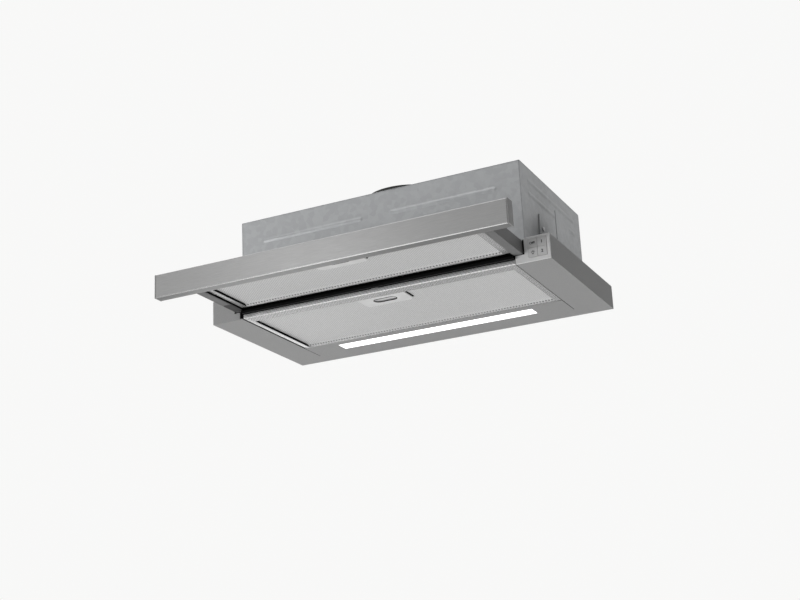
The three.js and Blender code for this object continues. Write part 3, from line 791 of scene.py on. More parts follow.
# %% Expanded metal on the filters' upper sides
BACK_HALF_PITCH = 5
BACK_HOLE = 3.9
BACK_GAP = 0.15
for word in FRONT_BORDER:
    low, high = extent(f"{word}_filter_core")
    mesh = bmesh.new()
    corners = (inset(low, SHEET_MARGIN), inset(high, -SHEET_MARGIN))
    add_diamonds(mesh, *corners, high.z + BACK_GAP, BACK_HALF_PITCH, BACK_HOLE, sides=4)
    add_sheet("back_mesh", mesh, mesh_aluminium, word)

# %% [markdown]
# At its back edge the perforated sheet bends down to the frame's lip. That strip has one row of larger
# holes. It is a row of rectangles with a hole in each, whose height falls off towards the back.

# %% The bent edge strips
STRIP_PITCH = 5.2
STRIP_HOLE = 1.45
LIP_THICKNESS = 0.6
for word in FRONT_BORDER:
    low, high = extent(f"{word}_filter_core")
    top = low.z - SHEET_GAP
    bottom = extent(f"{word}_filter_frame")[0].z + LIP_THICKNESS
    start = high.y - BEND_SETBACK - BEND_WIDTH
    middle = start + BEND_WIDTH / 2
    slope = (top - bottom) / BEND_WIDTH
    count = int((high.x - low.x) / STRIP_PITCH)
    pitch = (high.x - low.x - 2 * SHEET_MARGIN) / count
    mesh = bmesh.new()
    for i in range(count):
        x = low.x + SHEET_MARGIN + (i + 0.5) * pitch
        quarters = ((1, -1), (1, 1), (-1, 1), (-1, -1))
        outline = [(x + a * pitch / 2, middle + b * BEND_WIDTH / 2) for a, b in quarters]
        add_holed_face(mesh, outline, (x, middle), STRIP_HOLE, lambda y: top - slope * (y - start))
    add_sheet("edge_strip", mesh, strip_aluminium, word)

# %% [markdown]
# ## Dark joints and painted shade
#
# Several joints read as black lines from below, because their gaps lie in shadow. A dark seal runs along
# each side of a filter, between its border and its sheet. A felt strip lines the inner side of each rail. A
# strip on the tray closes the gap beside the rear filter. These three are black, as seals and felt are, and
# their black is also painted shade for the shadow in those gaps. The rubber rail across the opening has a
# fine ridge along its underside, whose lighter grey is partly a painted highlight line. Lines of dark paint
# would do from afar, but thin bars keep their place when the visor and the filters move.

# %% Seals, felt strips and the rubber ridge, with painted shade and a painted highlight
SIDE_BORDER = 10
SEAL_THICKNESS = 0.5
SEAL_LOW = 0.5
SEAL_HIGH = 3.9
SEAL_FRONT_GAP = 0.3
SEAL_BACK_GAP = 1.5
# The seals' black along the filters' sides is partly painted shade for the shadowed gap.
for word, border in FRONT_BORDER.items():
    frame_low, frame_high = extent(f"{word}_filter_frame")
    start = frame_low.y + border + SEAL_FRONT_GAP
    end = extent(f"{word}_filter_core")[1].y - SEAL_BACK_GAP
    inner_x = frame_high.x - SIDE_BORDER
    section = rectangle(inner_x, frame_low.z + SEAL_LOW, inner_x - SEAL_THICKNESS, frame_low.z + SEAL_HIGH)
    mesh = bmesh.new()
    add_pair(mesh, section, start, end)
    add_piece(f"{word}_filter_seal_painted_shade", mesh, black_rubber, f"{word}_filter")

# The felt's black is partly painted shade for the shadowed gap beside each rail.
FELT_SECTION = rectangle(239.95, 15, 239.5, 33)
FELT_FRONT = -146
FELT_BACK = 100
mesh = bmesh.new()
add_pair(mesh, FELT_SECTION, FELT_FRONT, FELT_BACK)
add_piece("rail_felt_painted_shade", mesh, black_rubber, "visor")

# The strips on the tray are painted shade for the shadowed gap beside the rear filter.
GAP_INNER = 241.25
GAP_BACK = 263.9
GAP_STRIPS = ((244.5, 1.35, 1.9, 16.3), (242.3, 0.1, 1.25, 3))  # outer x, bottom, top and front end
mesh = bmesh.new()
for sign in (-1, 1):
    for outer, bottom, top, front in GAP_STRIPS:
        add_prism(mesh, mirrored(rectangle(GAP_INNER, bottom, outer, top), sign), "y", front, GAP_BACK)
add_piece("tray_gap_seal_painted_shade", mesh, black_rubber, "hood_body")

# The ridge is lighter grey than the rubber, so part of its bright line is a painted highlight. The rest comes
# from its gloss catching the lamps.
RIDGE_HEIGHT = 0.25
RIDGE_END = 241
rail_underside = extent("seal_rail")[0].z
ridge = ((-3.9, rail_underside), (-3.6, rail_underside - RIDGE_HEIGHT), (-3.2, rail_underside))
mesh = bmesh.new()
add_prism(mesh, ridge, "x", -RIDGE_END, RIDGE_END)
add_piece("seal_ridge_painted_highlight", mesh, dark_plastic, "hood_body")

# %% [markdown]
# ## The panel's polished edge
#
# Along the panel's lower front fold the brushing is polished away, and that edge draws one thin bright
# line. It is a narrow strip at 45 degrees, laid over the fold so that it mirrors the light from below.

# %% Polished edge
EDGE_SECTION = ((0, 1.4), (0, 0.9), (0.2, 0.65), (0.65, 0.2), (0.9, 0.01), (1.4, 0.01), (0.9, 0.9))
polished = new_material("polished_edge", grey(0.36), 1.0, 0.25)
tint(polished, noise(polished, 1800, stretch=(0.03, 1, 1)), grey(0.34), grey(0.38))
bump(polished, noise(polished, 2500, stretch=(0.03, 1, 1)), 0.004, 0.3)
mesh = bmesh.new()
add_prism(mesh, [(panel_low.y + y, z) for y, z in EDGE_SECTION], "x", panel_low.x, panel_high.x)
add_piece("panel_polished_edge", mesh, polished, "visor")

# %% [markdown]
# ## The handles' pockets
#
# A finger reaches into a long pocket in each handle plate. A black rubber lip lines the pocket's side, and
# from below it reads as a dark outline. It is a tube between two slot outlines, one inside the other.

# %% Rubber lips of the pockets
POCKET_SETBACK = 20.4
POCKET_HALF = 20.45
POCKET_RADIUS = 8.95
LIP_HALF = 19.2
LIP_RADIUS = 6.6
LIP_BELOW = 0.05
LIP_ABOVE = 0.6


def add_tube(mesh, outer, inner, low, high):
    """A closed tube along z between two outlines with the same number of points."""
    rings = []
    for outline, z in ((outer, low), (outer, high), (inner, high), (inner, low)):
        rings.append([mesh.verts.new((x, y, z)) for x, y in outline])
    for ring, following in zip(rings, rings[1:] + rings[:1]):
        join_rings(mesh, ring, following)


for word, border in FRONT_BORDER.items():
    pocket_y = extent(f"{word}_filter_frame")[0].y + border + POCKET_SETBACK
    plate_z = extent(f"{word}_filter_handle")[0].z
    outer = stadium(0, pocket_y, POCKET_HALF, POCKET_RADIUS)
    inner = stadium(0, pocket_y, LIP_HALF, LIP_RADIUS)
    mesh = bmesh.new()
    add_tube(mesh, outer, inner, plate_z - LIP_BELOW, plate_z + LIP_ABOVE)
    add_piece(f"{word}_pocket_lip", mesh, black_rubber, f"{word}_latch")

# %% [markdown]
# ## Catch springs
#
# Behind each handle plate lies a small coil spring, which pushes the catch home. A curve with a round bevel
# would also draw it. Here each ring of points is placed across the wire, because the wire then keeps its
# thickness, and each coil gets a mesh of its own.

# %% Coil springs
WIRE_RADIUS = 0.35
COIL_RADIUS = 1.3
COIL_TURNS = 6
STEPS_A_TURN = 16
WIRE_SIDES = 8


def add_coil(mesh, start, end):
    """A round wire wound along y, from one place to another."""
    steps = COIL_TURNS * STEPS_A_TURN
    rings = []
    for k in range(steps + 1):
        turn = 2 * math.pi * k / STEPS_A_TURN
        outward = Vector((math.cos(turn), 0, math.sin(turn)))
        around = Vector((-math.sin(turn), 0, math.cos(turn)))
        along = around * (2 * math.pi * COIL_RADIUS * COIL_TURNS) + (end - start)
        across = along.normalized().cross(outward)
        middle = start.lerp(end, k / steps) + outward * COIL_RADIUS
        ring = []
        for side in range(WIRE_SIDES):
            angle = 2 * math.pi * side / WIRE_SIDES
            reach = outward * math.cos(angle) + across * math.sin(angle)
            ring.append(mesh.verts.new(middle + WIRE_RADIUS * reach))
        rings.append(ring)
    for ring, following in zip(rings, rings[1:]):
        join_rings(mesh, ring, following)
    mesh.faces.new(rings[0])
    mesh.faces.new(rings[-1])


for word in FRONT_BORDER:
    low, high = extent(f"{word}_filter_spring")
    start = Vector(((low.x + high.x) / 2, low.y + WIRE_RADIUS, (low.z + high.z) / 2))
    end = Vector((start.x, high.y - WIRE_RADIUS, start.z))
    mesh = bmesh.new()
    add_coil(mesh, start, end)
    coil = add_piece(f"{word}_catch_coil", mesh, steel, f"{word}_filter")
    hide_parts(f"{word}_filter_spring")
    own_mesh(coil)

# %% [markdown]
# ## The visor's guides
#
# Each rail of the visor runs in through an opening of its cheek, over a black plastic guide. The guide is
# an angle: a pad under the rail and a plate beside it. It also shows as the black slit beside the switches,
# so its black is partly painted shade for that shadowed gap.
# On the left, an edge guard covers the cheek's cut edge, and a thin shoe under the rail's rear works the
# start switch. Both sit on the left only, and their dark is partly painted shade on the left cheek and on
# the rail's underside. All four are short prisms of one outline each.

# %% Rail guides
# The guide's black is partly painted shade, in the slit beside the rail and over the cheek's ledge.
GUIDE_SECTION = ((241.8, 13.25), (257, 13.25), (257, 37), (255.2, 37), (255.2, 13.6), (241.8, 13.6))
GUIDE_FRONT = 0.4
GUIDE_BACK = 14
for word, sign in (("left", -1), ("right", 1)):
    mesh = bmesh.new()
    add_prism(mesh, mirrored(GUIDE_SECTION, sign), "y", GUIDE_FRONT, GUIDE_BACK)
    add_piece(f"rail_guide_painted_shade_{word}", mesh, black_rubber, "hood_body")

# The edge guard's black is partly painted shade in the gap over the left cheek's ledge.
GUARD_SECTION = ((-247.2, 12.4), (-253, 12.6), (-253.6, 11.8), (-257.2, 12), (-257.2, 13.65),
                 (-247.2, 13.65))
GUARD_FRONT = -0.5
GUARD_BACK = 0.35
mesh = bmesh.new()
add_prism(mesh, GUARD_SECTION, "y", GUARD_FRONT, GUARD_BACK)
add_piece("edge_guard_painted_shade", mesh, black_rubber, "hood_body")

# The shoe's dark grey is partly painted shade on the left rail's underside.
SHOE_OUTLINE = ((-254.3, -4), (-254.3, -38), (-252, -41), (-242.5, -41), (-240.2, -38), (-240.2, -4))
SHOE_LOW = 13.7
SHOE_HIGH = 14
mesh = bmesh.new()
add_prism(mesh, SHOE_OUTLINE, "z", SHOE_LOW, SHOE_HIGH)
add_piece("rail_shoe_painted_shade", mesh, dark_plastic, "visor")

# %% [markdown]
# ## The marks on the keys
#
# The keys carry plain printed marks: OFF, a lamp sign, 1 and 2. Lettering is a text curve that is given a
# hair of thickness and turned into a mesh, because a printed picture would blur when seen from near.

# %% Printed marks
MARK_DEPTH = 0.04
LETTER_DEPTH = 0.01
LETTER_BOLDNESS = 0.045
LETTERINGS = (("off", "OFF", 4.0), ("speed_1", "1", 5.0), ("speed_2", "2", 5.0))  # key, text, height
key_front = extent("button_off")[0].y
ink = moulded_plastic("key_ink", 0.008, 0.5)


def mesh_of(curve):
    """The mesh of a curve, as Blender fills, bevels and thickens it."""
    line = put_in_scene(bpy.data.objects.new(curve.name, curve))
    bpy.context.view_layer.update()
    made = bpy.data.meshes.new_from_object(line.evaluated_get(bpy.context.evaluated_depsgraph_get()))
    bpy.data.objects.remove(line)
    return made


def middle_and_size(values):
    return (max(values) + min(values)) / 2, max(values) - min(values)


def add_lettering(mesh, text, height, x, z):
    """Letters on the keys' front, with their middle at x and z."""
    curve = bpy.data.curves.new("lettering", "FONT")
    curve.body = text
    curve.size = 1
    curve.extrude = LETTER_DEPTH
    curve.offset = LETTER_BOLDNESS
    curve.align_x = "CENTER"
    curve.align_y = "CENTER"
    made = mesh_of(curve)
    middle_x = middle_and_size([v.co.x for v in made.vertices])[0]
    middle_y, drawn_height = middle_and_size([v.co.y for v in made.vertices])
    middle_depth, depth = middle_and_size([v.co.z for v in made.vertices])
    size = height / drawn_height
    for v in made.vertices:
        across = (v.co.x - middle_x) * size
        upward = (v.co.y - middle_y) * size
        raised = ((v.co.z - middle_depth) / depth + 0.5) * MARK_DEPTH
        v.co = (x + across, key_front - raised, z + upward)
    mesh.from_mesh(made)
    bpy.data.meshes.remove(made)


def add_mark(key, mesh):
    add_piece(f"mark_{key}", mesh, ink, f"key_{key}")


for key, text, height in LETTERINGS:
    middle = centre_of(f"button_{key}")
    mesh = bmesh.new()
    add_lettering(mesh, text, height, middle.x, middle.z)
    add_mark(key, mesh)

# %% [markdown]
# The lamp sign has the same ink and the same depth. It is drawn with flat bars: a ring of many short ones,
# a longer one for the foot and five for the rays.

# %% The lamp sign
BULB_DROP = 0.3
BULB_RADIUS = 1.7
BULB_BARS = 24
BULB_BAR_LENGTH = 0.5
STROKE = 0.8
FOOT_DROP = 2.6
FOOT_LENGTH = 2.2
RAY_DISTANCE = 3.1
RAY_LENGTH = 1.2
RAY_WIDTH = 0.7


def on_circle(x, z, radius, angle):
    return x + radius * math.cos(angle), z + radius * math.sin(angle)


def add_bar(mesh, x, z, length, width, angle):
    """A flat bar of ink on the key's face, turned about its middle."""
    bar = []
    for a, b in ((-1, -1), (1, -1), (1, 1), (-1, 1)):
        along, across = a * length / 2, b * width / 2
        bar.append((x + along * math.cos(angle) - across * math.sin(angle),
                    z + along * math.sin(angle) + across * math.cos(angle)))
    add_prism(mesh, bar, "y", key_front - MARK_DEPTH, key_front)


lamp_key = centre_of("button_lamp")
bulb = (lamp_key.x, lamp_key.z - BULB_DROP)
mesh = bmesh.new()
for k in range(BULB_BARS):
    angle = 2 * math.pi * (k + 0.5) / BULB_BARS
    add_bar(mesh, *on_circle(*bulb, BULB_RADIUS, angle), BULB_BAR_LENGTH, STROKE, angle + math.pi / 2)
add_bar(mesh, bulb[0], bulb[1] - FOOT_DROP, FOOT_LENGTH, STROKE, 0)
for degrees in range(20, 161, 35):
    angle = math.radians(degrees)
    add_bar(mesh, *on_circle(*bulb, RAY_DISTANCE, angle), RAY_LENGTH, RAY_WIDTH, angle)
add_mark("lamp", mesh)

# %% [markdown]
# ## Screws
#
# The casing is held together by pan-head screws with a cross recess. One head is drawn as a flat curve, a
# circle with a cross cut out of it, which Blender fills, thickens and rounds in one go. Its mesh is then
# set down wherever a screw sits, facing away from the sheet, and a small disc closes the recess from below.

# %% One screw head
SCREW_RADIUS = 3.4
SCREW_HEIGHT = 1.5
SCREW_ROUND = 0.45
RIM_POINTS = 24
CROSS_ARM = 1.7
CROSS_HALF = 0.75
RECESS_FLOOR = ((0, 0.05), (2.4, 0.05), (2.4, 0.4), (0, 0.4))


def screw_head():
    curve = bpy.data.curves.new("screw_head", "CURVE")
    curve.dimensions = "2D"
    curve.fill_mode = "BOTH"
    curve.extrude = SCREW_HEIGHT / 2 - SCREW_ROUND
    curve.bevel_depth = SCREW_ROUND
    curve.bevel_resolution = 2
    rim_radius = SCREW_RADIUS - SCREW_ROUND
    rim = [on_circle(0, 0, rim_radius, 2 * math.pi * k / RIM_POINTS) for k in range(RIM_POINTS)]
    quarter = [(CROSS_ARM, -CROSS_HALF), (CROSS_ARM, CROSS_HALF), (CROSS_HALF, CROSS_HALF)]
    cross = []
    for _ in range(4):
        cross += quarter
        quarter = [(-y, x) for x, y in quarter]
    for points in (rim, cross):
        spline = curve.splines.new("POLY")
        spline.points.add(len(points) - 1)
        spline.use_cyclic_u = True
        for point, (x, y) in zip(spline.points, points):
            point.co = (x, y, 0, 1)
    return mesh_of(curve)


SCREW_HEAD = screw_head()


def add_screw(mesh, place, direction):
    """One head with its underside on the place, looking along the direction."""
    start = len(mesh.verts)
    mesh.from_mesh(SCREW_HEAD)
    mesh.verts.ensure_lookup_table()
    turn = Vector(direction).to_track_quat("Z", "Y").to_matrix()
    for vertex in mesh.verts[start:]:
        vertex.co = Vector(place) + turn @ (vertex.co + Vector((0, 0, SCREW_HEIGHT / 2)))
    add_turned(mesh, RECESS_FLOOR, place, direction, 12)


print("screw head faces:", len(SCREW_HEAD.polygons))

# %% [markdown]
# Screws sit on the seat flanges, along the top and the back, on the two brackets, on the collar's flange,
# under the terminal box and on the motor's bracket. Their rows are loops, so a row keeps its pitch when it
# is moved.

# %% Set the screws
SEAT_TOP = 40
SEAT_SCREW_X = 276
TOP_SCREW_X = 246
BACK_SCREW_X = 242
BRACKET_SCREW_X = 254.8
BRACKET_SCREW_Z = 88
COLLAR_BOLT_CIRCLE = 82.6
LID_SCREW_INSET = 8
MOTOR_SCREW_X = 69
MOTOR_BOLT_CIRCLE = 49
SHAFT_Y = 112
SHAFT_Z = 106
top_low, top_high = extent("casing_top")
casing_back = extent("chassis")[1].y
flange_top = extent("collar_flange")[1].z
lid_low, lid_high = extent("terminal_lid")
collar = centre_of("outlet_collar")
mesh = bmesh.new()
for sign in (-1, 1):
    for y in (50, 160, 270):
        add_screw(mesh, (sign * SEAT_SCREW_X, y, SEAT_TOP), UP)
    for y in (32, 160, 288):
        add_screw(mesh, (sign * TOP_SCREW_X, y, top_high.z), UP)
    for z in (60, 160):
        add_screw(mesh, (sign * BACK_SCREW_X, casing_back, z), BACK)
    for y in (104, 136):
        add_screw(mesh, (sign * BRACKET_SCREW_X, y, BRACKET_SCREW_Z), (sign, 0, 0))
for k in range(4):
    x, y = on_circle(collar.x, collar.y, COLLAR_BOLT_CIRCLE, math.radians(22.5 + 90 * k))
    add_screw(mesh, (x, y, flange_top), UP)
for x in (lid_low.x + LID_SCREW_INSET, lid_high.x - LID_SCREW_INSET):
    add_screw(mesh, (x, (lid_low.y + lid_high.y) / 2, lid_low.z), DOWN)
for degrees in (30, 150, 270):
    y, z = on_circle(SHAFT_Y, SHAFT_Z, MOTOR_BOLT_CIRCLE, math.radians(degrees))
    add_screw(mesh, (MOTOR_SCREW_X, y, z), RIGHT)
add_piece("casing_screws", mesh, steel, "hood_body")

# %% [markdown]
# ## Pressed beads and spot welds
#
# A large thin sheet would drum, so long beads are pressed into it. Each one is a small hill with round
# ends: a grid whose height falls off with the distance from its middle line. Where two sheets overlap, spot
# welds leave shallow dimples. Both could be a bump in the material, but as meshes they also show in
# outline.

# %% Beads and welds
BEAD_WIDTH = 10
BEAD_HEIGHT = 1.1
BEAD_STEPS = 10
BEAD_END_STEPS = 5
BEAD_LIFT = 0.02
WELD_PROFILE = ((0, 0.06), (1.3, 0.06), (2.0, 0.3), (2.7, 0.04))


def add_bead(mesh, middle, along, out, length):
    """A pressed bead: its middle on the sheet, its long direction, the way it stands out, and its length."""
    middle, along, out = Vector(middle), Vector(along), Vector(out)
    across = out.cross(along)
    half = length / 2
    radius = BEAD_WIDTH / 2
    quarter_turns = [math.pi / 2 * k / BEAD_END_STEPS for k in range(BEAD_END_STEPS + 1)]
    columns = [radius * (1 - math.cos(angle)) - half for angle in quarter_turns]
    columns += [-u for u in reversed(columns)]
    rows = []
    for u in columns:
        beyond = max(abs(u) - (half - radius), 0)
        reach = math.sqrt(max(radius ** 2 - beyond ** 2, 0))
        row = []
        for k in range(BEAD_STEPS + 1):
            v = reach * (2 * k / BEAD_STEPS - 1)
            share = min(math.hypot(v, beyond) / radius, 1)
            height = BEAD_HEIGHT * 0.5 * (1 + math.cos(math.pi * share)) + BEAD_LIFT
            row.append(mesh.verts.new(middle + along * u + across * v + out * height))
        rows.append(row)
    for row, following in zip(rows, rows[1:]):
        for k in range(BEAD_STEPS):
            mesh.faces.new((row[k], row[k + 1], following[k + 1], following[k]))


def add_weld(mesh, place, direction):
    add_turned(mesh, WELD_PROFILE, place, direction, 14)


print("bead:", BEAD_WIDTH, "by", BEAD_HEIGHT, "weld radius:", WELD_PROFILE[-1][0])

# %% [markdown]
# The casing has beads on its top, flanks, back and front, the same on the left and on the right. The welds
# follow the seams in rows of equal pitch.

# %% Beads and welds on the casing
FLANK_X = 253
PANEL_MIDDLE_X = 118
FLANK_BACK_Y = 292
FLANGE_WELD_X = 260
TOP_WELD_Y = 25
BACK_WELD_Z = 170
FIRST_WELD_Z = 58
WELD_PITCH = 25
FLANGE_WELD_PITCH = 44
TOP_WELD_PITCH = 50
mesh = bmesh.new()
for sign in (-1, 1):
    for x in (118, 160):
        add_bead(mesh, (sign * x, 135, top_high.z), BACK, UP, 170)
    for z in (132, 154):
        add_bead(mesh, (sign * FLANK_X, 160, z), BACK, (sign, 0, 0), 220)
    for z in (75, 110, 145):
        add_bead(mesh, (sign * PANEL_MIDDLE_X, casing_back, z), RIGHT, BACK, 190)
    for z in (78, 138):
        add_bead(mesh, (sign * PANEL_MIDDLE_X, top_low.y, z), RIGHT, FRONT, 190)
add_piece("casing_beads", mesh, zinc, "hood_body")

mesh = bmesh.new()
for sign in (-1, 1):
    for k in range(5):
        z = FIRST_WELD_Z + WELD_PITCH * k
        add_weld(mesh, (sign * TOP_SCREW_X, top_low.y, z), FRONT)
        add_weld(mesh, (sign * FLANK_X, FLANK_BACK_Y, z), (sign, 0, 0))
    for k in range(6):
        add_weld(mesh, (sign * FLANGE_WELD_X, FLANGE_WELD_PITCH * (k + 1), SEAT_TOP), UP)
for k in range(-4, 5):
    add_weld(mesh, (TOP_WELD_PITCH * k, TOP_WELD_Y, top_high.z), UP)
    add_weld(mesh, (TOP_WELD_PITCH * k, casing_back, BACK_WELD_Z), BACK)
add_piece("spot_welds", mesh, zinc, "hood_body")

# %% [markdown]
# ## The outlet collar
#
# A duct is pushed over the collar, so a bead near its top keeps the duct's clamp from slipping off, and
# small gussets stiffen its foot. The two flaps carry ribs. The bead is turned, and one loop sets the
# gussets round.

# %% Bead, gussets and flap ribs
BEAD_BELOW_RIM = 5
GUSSETS = 8
GUSSET_FOOT = 87
GUSSET_TOP = 193
GUSSET_HALF = 0.8
collar_low, collar_high = extent("outlet_collar")
collar_radius = (collar_high.x - collar_low.x) / 2
bead_offsets = ((-0.1, -2), (0.7, -1.4), (1.1, 0), (0.7, 1.4), (-0.1, 2))
bead_profile = [(collar_radius + out, z) for out, z in bead_offsets]
gusset = ((collar_radius + 0.2, flange_top), (GUSSET_FOOT, flange_top), (GUSSET_FOOT, flange_top + 1),
          (collar_radius + 3, GUSSET_TOP), (collar_radius + 0.2, GUSSET_TOP))
mesh = bmesh.new()
add_turned(mesh, bead_profile, (collar.x, collar.y, collar_high.z - BEAD_BELOW_RIM), UP, 72)
for k in range(GUSSETS):
    angle = 2 * math.pi * k / GUSSETS
    outward = Vector((math.cos(angle), math.sin(angle), 0))
    side = Vector((-math.sin(angle), math.cos(angle), 0)) * GUSSET_HALF
    sheets = []
    for shift in (-side, side):
        foot = Vector((collar.x, collar.y, 0)) + shift
        sheets.append([mesh.verts.new(foot + outward * r + Vector((0, 0, z))) for r, z in gusset])
        mesh.faces.new(sheets[-1])
    join_rings(mesh, *sheets)
add_piece("collar_trim", mesh, black_plastic, "hood_body")

FLAP_RIB_START = 9
FLAP_RIB_HALF = 0.6
FLAP_RIB_REACH = {110: 52, 150: 62, 190: 52}  # y of a rib, and how far out it reaches on the round flap
FLAP_RIB_LOW = 189.2
FLAP_RIB_HIGH = 190.4
for word, sign in (("left", -1), ("right", 1)):
    mesh = bmesh.new()
    for y, reach in FLAP_RIB_REACH.items():
        rib = rectangle(FLAP_RIB_START, y - FLAP_RIB_HALF, reach, y + FLAP_RIB_HALF)
        add_prism(mesh, mirrored(rib, sign), "z", FLAP_RIB_LOW, FLAP_RIB_HIGH)
    add_piece(f"flap_ribs_{word}", mesh, black_plastic, f"flap_{word}")

# %% [markdown]
# ## The blower
#
# The spiral casing is moulded in two halves, with stiffening ribs on its flat sides, a rounded lip round
# the open inlet and clips along the joint. The spiral grows evenly from its start to its end, so the ribs
# and the clips follow the same rule instead of a list of places.

# %% Ribs, lip and clips of the spiral casing
SCROLL_SIDE = 66
SCROLL_START = 52
SCROLL_GROWTH = 12
SCROLL_TURN = 270
INLET_RADIUS = 40
INLET_TO_RIB = 5
RIB_TO_RIM = 0.5
RIB_THICKNESS = 1.6
RIB_HEIGHT = 1.4
CLIP_DEPTH = 0.3
CLIP_HEIGHT = 2.4
CLIP_WIDTH = 10
CLIP_HALF = 4


def on_scroll(turn, radius):
    """A point (y, z) at a turn about the shaft: 0 is up, and it runs over the front."""
    angle = math.radians(turn)
    return SHAFT_Y - radius * math.sin(angle), SHAFT_Z + radius * math.cos(angle)


def scroll_radius(turn):
    return SCROLL_START + SCROLL_GROWTH * turn / SCROLL_TURN


def add_radial(mesh, turn, inner, outer, half, start, end):
    """A radial bar, whose long faces are parallel, between two places along x."""
    angle = math.radians(turn)
    side_y, side_z = math.cos(angle) * half, math.sin(angle) * half
    outline = []
    for radius, sign in ((inner, -1), (outer, -1), (outer, 1), (inner, 1)):
        y, z = on_scroll(turn, radius)
        outline.append((y + sign * side_y, z + sign * side_z))
    add_prism(mesh, outline, "x", start, end)


lip_offsets = ((0.2, 0), (0.8, 1.2), (2.2, 1.7), (3.6, 1.2), (4.2, 0))
inlet_lip = [(INLET_RADIUS + out, height) for out, height in lip_offsets]
mesh = bmesh.new()
for sign in (-1, 1):
    side = sign * SCROLL_SIDE
    for turn in range(15, 256, 30):
        reach = (INLET_RADIUS + INLET_TO_RIB, scroll_radius(turn) - RIB_TO_RIM)
        add_radial(mesh, turn, *reach, RIB_THICKNESS / 2, side, side + sign * RIB_HEIGHT)
    if sign < 0:
        add_turned(mesh, inlet_lip, (side, SHAFT_Y, SHAFT_Z), (sign, 0, 0), 48)
for turn in (35, 90, 145, 200, 250):
    radius = scroll_radius(turn)
    add_radial(mesh, turn, radius - CLIP_DEPTH, radius + CLIP_HEIGHT, CLIP_WIDTH / 2, -CLIP_HALF, CLIP_HALF)
add_piece("scroll_ribs", mesh, black_plastic, "hood_body")

# %% [markdown]
# The motor's end has cooling slots round its bearing, and four screws near its rim.

# %% Cooling slots and the bearing's boss
MOTOR_SLOTS = 10
SLOT_INNER = 12
SLOT_OUTER = 20
SLOT_WIDTH = 3
BOSS_PROFILE = ((0, 1.6), (5, 1.6), (6.5, 1.1), (7.2, 0))
RIM_SCREW_PROFILE = ((0, 1.2), (1.4, 1.2), (1.8, 0.8), (1.8, 0))
RIM_SCREW_RADIUS = 26.5
RIM_SETBACK = 6
motor_end = extent("motor")[1].x
mesh = bmesh.new()
for k in range(MOTOR_SLOTS):
    turn = 360 / MOTOR_SLOTS * k
    add_radial(mesh, turn, SLOT_INNER, SLOT_OUTER, SLOT_WIDTH / 2, motor_end - 0.1, motor_end + 0.05)
add_piece("motor_slots", mesh, black_rubber, "hood_body")

mesh = bmesh.new()
add_turned(mesh, BOSS_PROFILE, (motor_end, SHAFT_Y, SHAFT_Z), RIGHT, 24)
for k in range(4):
    y, z = on_scroll(45 + 90 * k, RIM_SCREW_RADIUS)
    add_turned(mesh, RIM_SCREW_PROFILE, (motor_end - RIM_SETBACK, y, z), RIGHT, 12)
add_piece("motor_boss", mesh, zinc, "hood_body")

# %% [markdown]
# ## Wires
#
# Two grey cables leave the terminal box inside the casing: one runs to the motor and one to the lamp. A
# cable is a smooth curve through a few points, given a round section. A swept mesh would need its own
# turning rule, and the curve brings that along.

# %% Cables inside the casing
CABLE_RADIUS = 2.2
MOTOR_ROUTE = ((-175, 240, 123), (-165, 232, 100), (-110, 225, 88), (-20, 218, 84), (60, 205, 90),
               (96, 170, 100), (100, 135, 106), (92, 124, 110), (84, 122, 110))
LAMP_ROUTE = ((-215, 250, 123), (-216, 254, 95), (-206, 262, 50), (-180, 258, 24), (-150, 245, 14))
cable_grey = moulded_plastic("grey_cable", 0.25, 0.5, specular=0.25)


def add_cable(name, points):
    curve = bpy.data.curves.new(name, "CURVE")
    curve.dimensions = "3D"
    curve.bevel_depth = CABLE_RADIUS
    curve.bevel_resolution = 2
    curve.resolution_u = 8
    curve.use_fill_caps = True
    spline = curve.splines.new("BEZIER")
    spline.bezier_points.add(len(points) - 1)
    for knot, place in zip(spline.bezier_points, points):
        knot.co = place
        knot.handle_left_type = knot.handle_right_type = "AUTO"
    made = mesh_of(curve)
    mesh = bmesh.new()
    mesh.from_mesh(made)
    bpy.data.meshes.remove(made)
    add_piece(name, mesh, cable_grey, "hood_body")


add_cable("motor_cable", MOTOR_ROUTE)
add_cable("lamp_cable", LAMP_ROUTE)

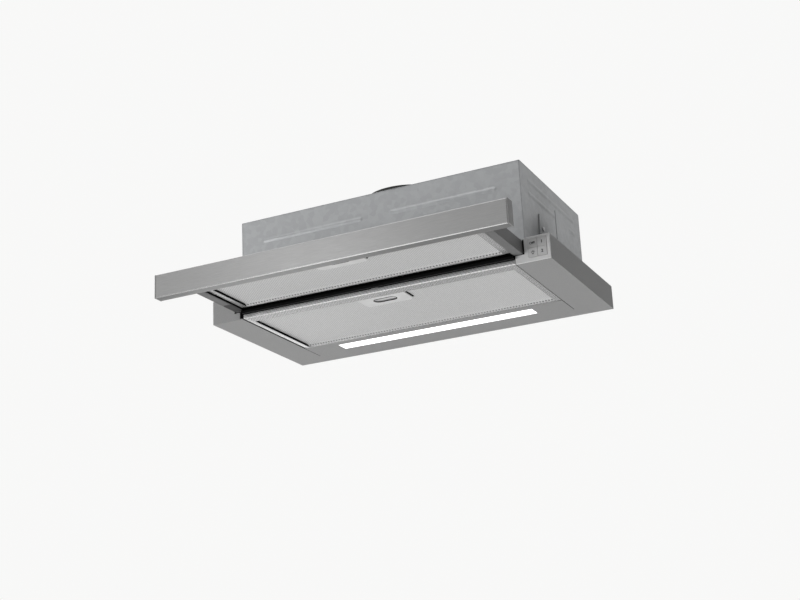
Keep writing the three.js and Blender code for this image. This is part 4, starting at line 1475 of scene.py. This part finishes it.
# %% [markdown]
# ## Small fittings
#
# The cord gland's nut has ribs for the fingers. The capacitor has a crimped rim at both ends and two flat
# terminals. The visor's cover sheet has beads like the casing's, and the casing's back has two round
# knockouts. Each is a turned shape or a prism, set down by a loop.

# %% Gland and capacitor
GLAND_RIBS = 18
GLAND_RIB_CIRCLE = 8.95
GLAND_RIB_FOOT = 185.1
GLAND_RIB_PROFILE = ((0.6, 0), (0.6, 4), (0.25, 4.7))
gland = centre_of("cable_gland")
mesh = bmesh.new()
for k in range(GLAND_RIBS):
    x, y = on_circle(gland.x, gland.y, GLAND_RIB_CIRCLE, 2 * math.pi * k / GLAND_RIBS)
    add_turned(mesh, GLAND_RIB_PROFILE, (x, y, GLAND_RIB_FOOT), UP, 6)
add_piece("gland_ribs", mesh, black_plastic, "hood_body")

CAN_Y = 278
CRIMP_PROFILE = ((13.9, -0.6), (14.5, 0), (13.9, 0.6))
CRIMP_INSET = 2.5
TERMINAL_HEIGHT = 8
can_low, can_high = extent("capacitor")
can_x = (can_low.x + can_high.x) / 2
mesh = bmesh.new()
for z in (can_high.z - CRIMP_INSET, can_low.z + CRIMP_INSET):
    add_turned(mesh, CRIMP_PROFILE, (can_x, CAN_Y, z), UP, 32)
for shift in (-5, 5):
    x = can_x + shift
    blade = rectangle(x - 0.4, CAN_Y - 3, x + 0.4, CAN_Y + 3)
    add_prism(mesh, blade, "z", can_high.z - 0.1, can_high.z + TERMINAL_HEIGHT)
add_piece("capacitor_fittings", mesh, steel, "hood_body")

# %% [markdown]
# The beads and knockouts use the helpers of the casing once more.

# %% Beads of the cover and knockouts of the back
KNOCKOUT_PROFILE = ((10, 0.03), (10.4, 0.4), (11.2, 0.4), (11.6, 0.03))
cover_top = extent("visor_cover")[1].z
mesh = bmesh.new()
for x in (-180, -60, 60, 180):
    add_bead(mesh, (x, -66, cover_top), BACK, UP, 130)
add_piece("cover_beads", mesh, zinc, "visor")

mesh = bmesh.new()
for x in (-40, 40):
    add_turned(mesh, KNOCKOUT_PROFILE, (x, casing_back, 165), BACK, 32)
add_piece("knockouts", mesh, zinc, "hood_body")
